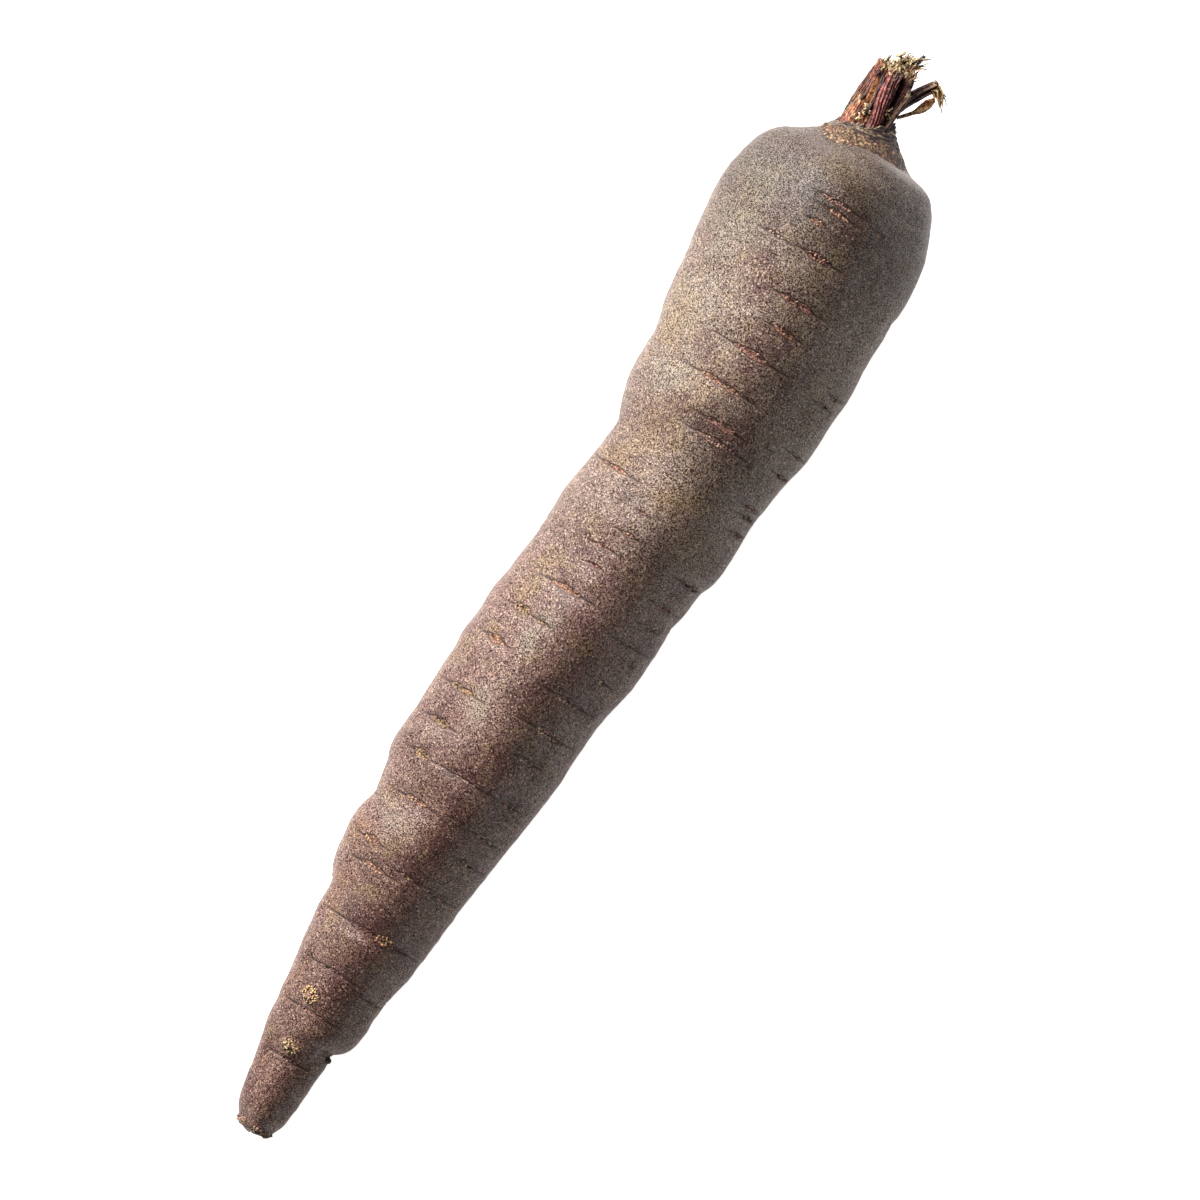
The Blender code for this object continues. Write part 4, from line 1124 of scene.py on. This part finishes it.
# The frayed ends: the tough strands of the stalks, torn out by the cut and bleached to straw.
class Tuft(NamedTuple):
    """Strands at one cut end: how many, how long, how far apart they stand, which way they droop, how far
    they go straight on, and how much they curl."""

    count: int
    lengths: tuple
    spread: float
    droop: tuple
    onward: float
    curl: float
    tint: tuple


STRAW = (0.42, 0.31, 0.16)
CREAM = (0.74, 0.54, 0.28)
TORN_END = (0.50, 0.24, 0.10)
TUFTS = {
    "stalk_heart": Tuft(34, (0.8, 3.0), 1.6, (0.0, 0.0, 0.0), 1.0, 0.2, CREAM),
    "stalk_middle": Tuft(16, (0.3, 1.0), 1.7, (0.0, 0.0, 0.2), 1.0, 0.16, CREAM),
    "stalk_open": Tuft(16, (0.5, 1.5), 1.0, (0.0, 0.0, 0.1), 1.0, 0.15, CREAM),
    "stalk_far": Tuft(10, (0.5, 1.3), 0.8, (0.0, 0.0, 0.0), 1.0, 0.12, (0.22, 0.12, 0.06)),
    "stalk_near": Tuft(34, (0.8, 2.3), 1.3, (0.0, 0.0, 0.1), 1.0, 0.2, TORN_END),
    "stalk_bent": Tuft(56, (1.4, 3.5), 1.5, (-0.95, -0.60, -0.2), 0.2, 0.09, (0.85, 0.52, 0.22)),
    "stalk_thin": Tuft(7, (0.3, 0.8), 0.4, (0.0, 0.0, 0.0), 1.0, 0.12, STRAW),
    "stalk_side": Tuft(14, (0.6, 2.0), 1.2, (0.0, 0.3, 0.0), 1.0, 0.16, STRAW),
    "stalk_under_far": Tuft(16, (0.6, 2.0), 1.4, (0.0, 0.0, -0.2), 1.0, 0.16, STRAW),
    "stalk_under_near": Tuft(16, (0.6, 2.0), 1.4, (0.0, 0.0, -0.2), 1.0, 0.16, STRAW),
}
STRAND_STEPS = 6
STRAND_SIDES = 5
# How far behind the cut a strand comes out of the stalk, at least and at most.
STRAND_ROOTS = (0.2, 1.9)
# Every strand ends inside the box that the cut stalks fill.
REACH_X = cad_box[1].x / MM - 0.2


def threads(name, lines, widths, flats, tints, outward=(0.13, 0.21, 0.97)):
    """One piece of many closed strands. A line is the points of a strand's middle in millimetres, and
    flats is how flat the strand is across the way outward."""
    count, steps = lines.shape[:2]
    forward = unit(np.gradient(lines, axis=1))
    side = unit(np.cross(forward, outward))
    up = np.cross(side, forward)
    turn = 2 * math.pi * np.arange(STRAND_SIDES) / STRAND_SIDES
    ring = side[:, :, None] * np.cos(turn)[:, None]
    ring = ring + up[:, :, None] * np.sin(turn)[:, None] * flats[:, None, None, None]
    points = lines[:, :, None] + ring * widths[:, :, None, None]
    faces = []
    for first in range(0, count * steps * STRAND_SIDES, steps * STRAND_SIDES):
        for step in range(steps - 1):
            low = first + step * STRAND_SIDES
            for k in range(STRAND_SIDES):
                after = (k + 1) % STRAND_SIDES
                faces.append((low + k, low + after, low + STRAND_SIDES + after, low + STRAND_SIDES + k))
        last = first + (steps - 1) * STRAND_SIDES
        faces.append(tuple(first + k for k in reversed(range(STRAND_SIDES))))
        faces.append(tuple(last + k for k in range(STRAND_SIDES)))
    return built(name, points, faces, np.repeat(tints, steps * STRAND_SIDES, axis=0))


fibre_finish = grained("bleached_strands", 0.38, 1, (0.36, 0.62, 0.32, 1.35), (0.45, 0.65), 0.1)


def finished_strands(piece):
    fibre_finish.dress(piece)
    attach(piece, "root")


# The strands have draws of their own, so that a change to the slits leaves them as they are.
chance = np.random.default_rng(8)
strand_share = np.linspace(0, 1, STRAND_STEPS)
for name, tuft in TUFTS.items():
    end, forward = STALK_ENDS[name]
    side = unit(np.cross(forward, (0.0, 0.0, 1.0)))
    up = np.cross(side, forward)
    turn = chance.uniform(0, 2 * math.pi, tuft.count)
    out = np.sqrt(chance.uniform(0.05, 1, tuft.count)) * tuft.spread
    off = side * (out * np.sin(turn))[:, None] + up * (0.75 * out * np.cos(turn))[:, None]
    length = chance.uniform(*tuft.lengths, tuft.count)[:, None]
    start = end - forward * chance.uniform(*STRAND_ROOTS, (tuft.count, 1)) + off * 0.85
    course = forward * length * tuft.onward + off * chance.uniform(-0.3, 0.9, (tuft.count, 1))
    sag = np.array(tuft.droop) * length + chance.normal(0, 0.25, (tuft.count, 3)) * length * tuft.onward
    kink = chance.normal(0, tuft.curl, (tuft.count, STRAND_STEPS, 3))
    kink[:, 0] = 0
    lines = (start[:, None] + (forward * 0.9 + course)[:, None] * strand_share[:, None]
             + sag[:, None] * (strand_share ** 2)[:, None] + kink)
    lines[:, :, 0] = np.minimum(lines[:, :, 0], REACH_X)
    widths = chance.uniform(0.09, 0.27, (tuft.count, 1)) * (1 - 0.55 * strand_share ** 2)
    tints = np.array(tuft.tint) * chance.uniform(0.35, 1.25, (tuft.count, 1))
    tints[chance.random(tuft.count) < 0.2] = (0.09, 0.05, 0.03)
    piece = threads("frayed_" + name, lines, widths, chance.uniform(0.35, 0.9, tuft.count), tints)
    finished_strands(piece)


# Between the stalks run the torn strips of older sheaths, dry and brown to red, pressed to the bundle.
STRIPS = 120
STRIP_RADIUS = 4.72
STRIP_TONES = np.array(((0.020, 0.006, 0.006), (0.10, 0.020, 0.016), (0.26, 0.075, 0.028),
                        (0.13, 0.07, 0.04), (0.40, 0.30, 0.17)))
first = chance.uniform(233.2, 239.5, STRIPS)
last = np.minimum(first + chance.uniform(2.0, 9.0, STRIPS), 246.5)
start_turn = np.radians(chance.uniform(-95, 118, STRIPS))
start_turn[::4] = np.radians(chance.uniform(118, 265, len(start_turn[::4])))
lean = np.radians(chance.uniform(-8, 22, STRIPS)) * np.cos(start_turn)
sway = chance.normal(0, 0.035, (STRIPS, STRAND_STEPS))
turn = start_turn[:, None] + lean[:, None] * strand_share + sway
radius = STRIP_RADIUS - 0.25 * strand_share ** 2 + chance.normal(0, 0.09, (STRIPS, 1))
radius = radius + chance.normal(0, 0.05, (STRIPS, STRAND_STEPS))
along = first[:, None] + (last - first)[:, None] * strand_share
lines = beside_bundle(along, turn, radius)
outward = lines - beside_bundle(along, turn, 0 * radius)
widths = chance.uniform(0.12, 0.34, (STRIPS, 1)) * (1 - 0.5 * strand_share ** 2)
widths = widths * chance.uniform(0.75, 1.25, (STRIPS, STRAND_STEPS))
tones = STRIP_TONES[chance.choice(len(STRIP_TONES), STRIPS, p=(0.28, 0.26, 0.2, 0.16, 0.1))]
tones = tones * chance.uniform(0.6, 1.4, (STRIPS, 1))
finished_strands(threads("sheath_strips", lines, widths, chance.uniform(0.3, 0.6, STRIPS), tones, outward))

# Scraps of bleached skin lie crumpled between the stalks. A patch of them has its distance from the tip,
# its turn, its reach along, and how many scraps it has.
SCRAP_RADIUS = 4.95
SCRAPS = ((234.6, 17, 1.4, 5), (236.8, 14, 1.2, 4), (245.4, 8, 1.0, 3), (238.6, -44, 1.4, 4))
pieces = []
for at, middle, reach, count in SCRAPS:
    centre = at + chance.normal(0, reach * 0.6, (count, 1))
    turn = math.radians(middle) + chance.normal(0, 0.10, (count, 1))
    turn = turn + chance.normal(0, 0.05, (count, STRAND_STEPS))
    length = chance.uniform(0.4, 1.2, (count, 1)) * reach
    radius = SCRAP_RADIUS + chance.normal(0, 0.10, (count, STRAND_STEPS))
    along = centre + length * (strand_share - 0.5) + chance.normal(0, 0.1, (count, STRAND_STEPS))
    pieces.append(beside_bundle(along, turn, radius))
lines = np.concatenate(pieces)
widths = chance.uniform(0.08, 0.22, (len(lines), 1)) * chance.uniform(0.6, 1.3, (len(lines), STRAND_STEPS))
tones = np.array(CREAM) * chance.uniform(0.5, 1.3, (len(lines), 1))
finished_strands(threads("bleached_scraps", lines, widths, chance.uniform(0.3, 0.7, len(lines)), tones))

# The straw tangle round the youngest stalk's end, with a broken grey twig standing out of it.
TANGLE = 74
centre = np.array((TIP_X + 248.0, AXIS_Y + 3.4, NECK_Z + 0.6))
start = centre + chance.uniform(-1, 1, (TANGLE, 3)) * (2.0, 1.9, 1.3)
heading = unit(chance.normal(0, 1, (TANGLE, 3)) * (1.2, 0.9, 0.7))
bend = chance.uniform(-1.2, 1.2, (TANGLE, 3))
length = chance.uniform(0.6, 1.9, (TANGLE, 1))
lines = start[:, None] + heading[:, None] * (length * (strand_share - 0.5))[:, :, None]
lines = lines + bend[:, None] * ((strand_share - 0.5) ** 2 * 2)[:, None]
lines = lines + chance.normal(0, 0.06, (TANGLE, STRAND_STEPS, 3))
lines[:, :, 0] = np.minimum(lines[:, :, 0], REACH_X)
widths = chance.uniform(0.13, 0.40, (TANGLE, 1)) * chance.uniform(0.7, 1.3, (TANGLE, STRAND_STEPS))
tones = np.array(CREAM) * chance.uniform(0.35, 1.25, (TANGLE, 1))
tones[chance.random(TANGLE) < 0.25] = (0.34, 0.20, 0.09)
tones[chance.random(TANGLE) < 0.3] = (0.05, 0.028, 0.018)
finished_strands(threads("straw_tangle", lines, widths, chance.uniform(0.35, 0.9, TANGLE), tones))

twig_foot = np.array((TIP_X + 247.6, AXIS_Y + 2.6, NECK_Z + 0.5))
twig_end = np.array((TIP_X + 252.2, AXIS_Y + 1.2, NECK_Z + 1.0))
twig = (twig_foot + (twig_end - twig_foot) * strand_share[:, None])[None]
widths = np.array((0.35, 0.42, 0.45, 0.42, 0.46, 0.43))[None]
finished_strands(threads("grey_twig", twig, widths, np.array((0.8,)), np.array(((0.10, 0.085, 0.065),))))


# The studio: a white floor and backdrop that only the camera sees, an unseen floor that throws soft light
# back up, and two broad soft boxes on the far side. The camera looks straight down on the carrot.
LIGHT_DISTANCE = 2.2
CAMERA_AT = (0.00037, -0.00162, 3.018)
CAMERA_TURN = -58.05
CAMERA_LENS = 450


def soft_box(name, direction, size, power, tone):
    """A square soft box that faces the carrot, unseen by the camera."""
    direction = Vector(direction).normalized()
    bpy.ops.object.light_add(type="AREA", location=direction * LIGHT_DISTANCE)
    light = bpy.context.object
    light.name = name
    light.rotation_euler = direction.to_track_quat("Z", "Y").to_euler()
    light.data.shape = "SQUARE"
    light.data.size = size
    light.data.energy = power
    light.data.color = tone
    light.visible_camera = False


def floor_plane(name, height, glow):
    """A white floor, with what it gives off of its own."""
    bpy.ops.mesh.primitive_plane_add(size=16, location=(0, 0, height))
    floor = bpy.context.object
    floor.name = name
    finish = Finish(name)
    clouds = finish.speckle(finish.place(), 400.0)
    finish.coat(finish.blend(clouds, (0.80, 0.80, 0.80), (0.82, 0.82, 0.82)), 0.9,
                Emission_Color=(1, 1, 1, 1), Emission_Strength=glow)
    finish.dress(floor)
    return floor


soft_box("low_soft_box", (0.45, 0.88, 0.32), 1.0, 57.0, (1.0, 1.0, 1.0))
soft_box("high_soft_box", (0.45, 0.88, 0.89), 1.0, 64.0, (1.0, 1.0, 1.0))
seen_floor = floor_plane("white_floor", -0.0002, 1.0)
seen_floor.visible_diffuse = seen_floor.visible_glossy = seen_floor.visible_shadow = False
lighting_floor = floor_plane("unseen_floor", -0.0004, 0.77)
lighting_floor.visible_camera = False

world = bpy.data.worlds.new("studio_air")
world.use_nodes = True
bpy.context.scene.world = world
air = world.node_tree
seen_air = air.nodes["Background"]
seen_air.inputs["Color"].default_value = (1, 1, 1, 1)
lighting_air = air.nodes.new("ShaderNodeBackground")
lighting_air.inputs["Strength"].default_value = 0.02
rays = air.nodes.new("ShaderNodeLightPath")
either = air.nodes.new("ShaderNodeMixShader")
air.links.new(rays.outputs["Is Camera Ray"], either.inputs["Fac"])
air.links.new(lighting_air.outputs[0], either.inputs[1])
air.links.new(seen_air.outputs[0], either.inputs[2])
air.links.new(either.outputs[0], air.nodes["World Output"].inputs["Surface"])

bpy.ops.object.camera_add(location=CAMERA_AT, rotation=(0, 0, math.radians(CAMERA_TURN)))
camera = bpy.context.object
camera.data.sensor_width = 36
camera.data.lens = CAMERA_LENS
camera.data.clip_end = 50
bpy.context.scene.camera = camera
bpy.context.scene.view_settings.view_transform = "Standard"
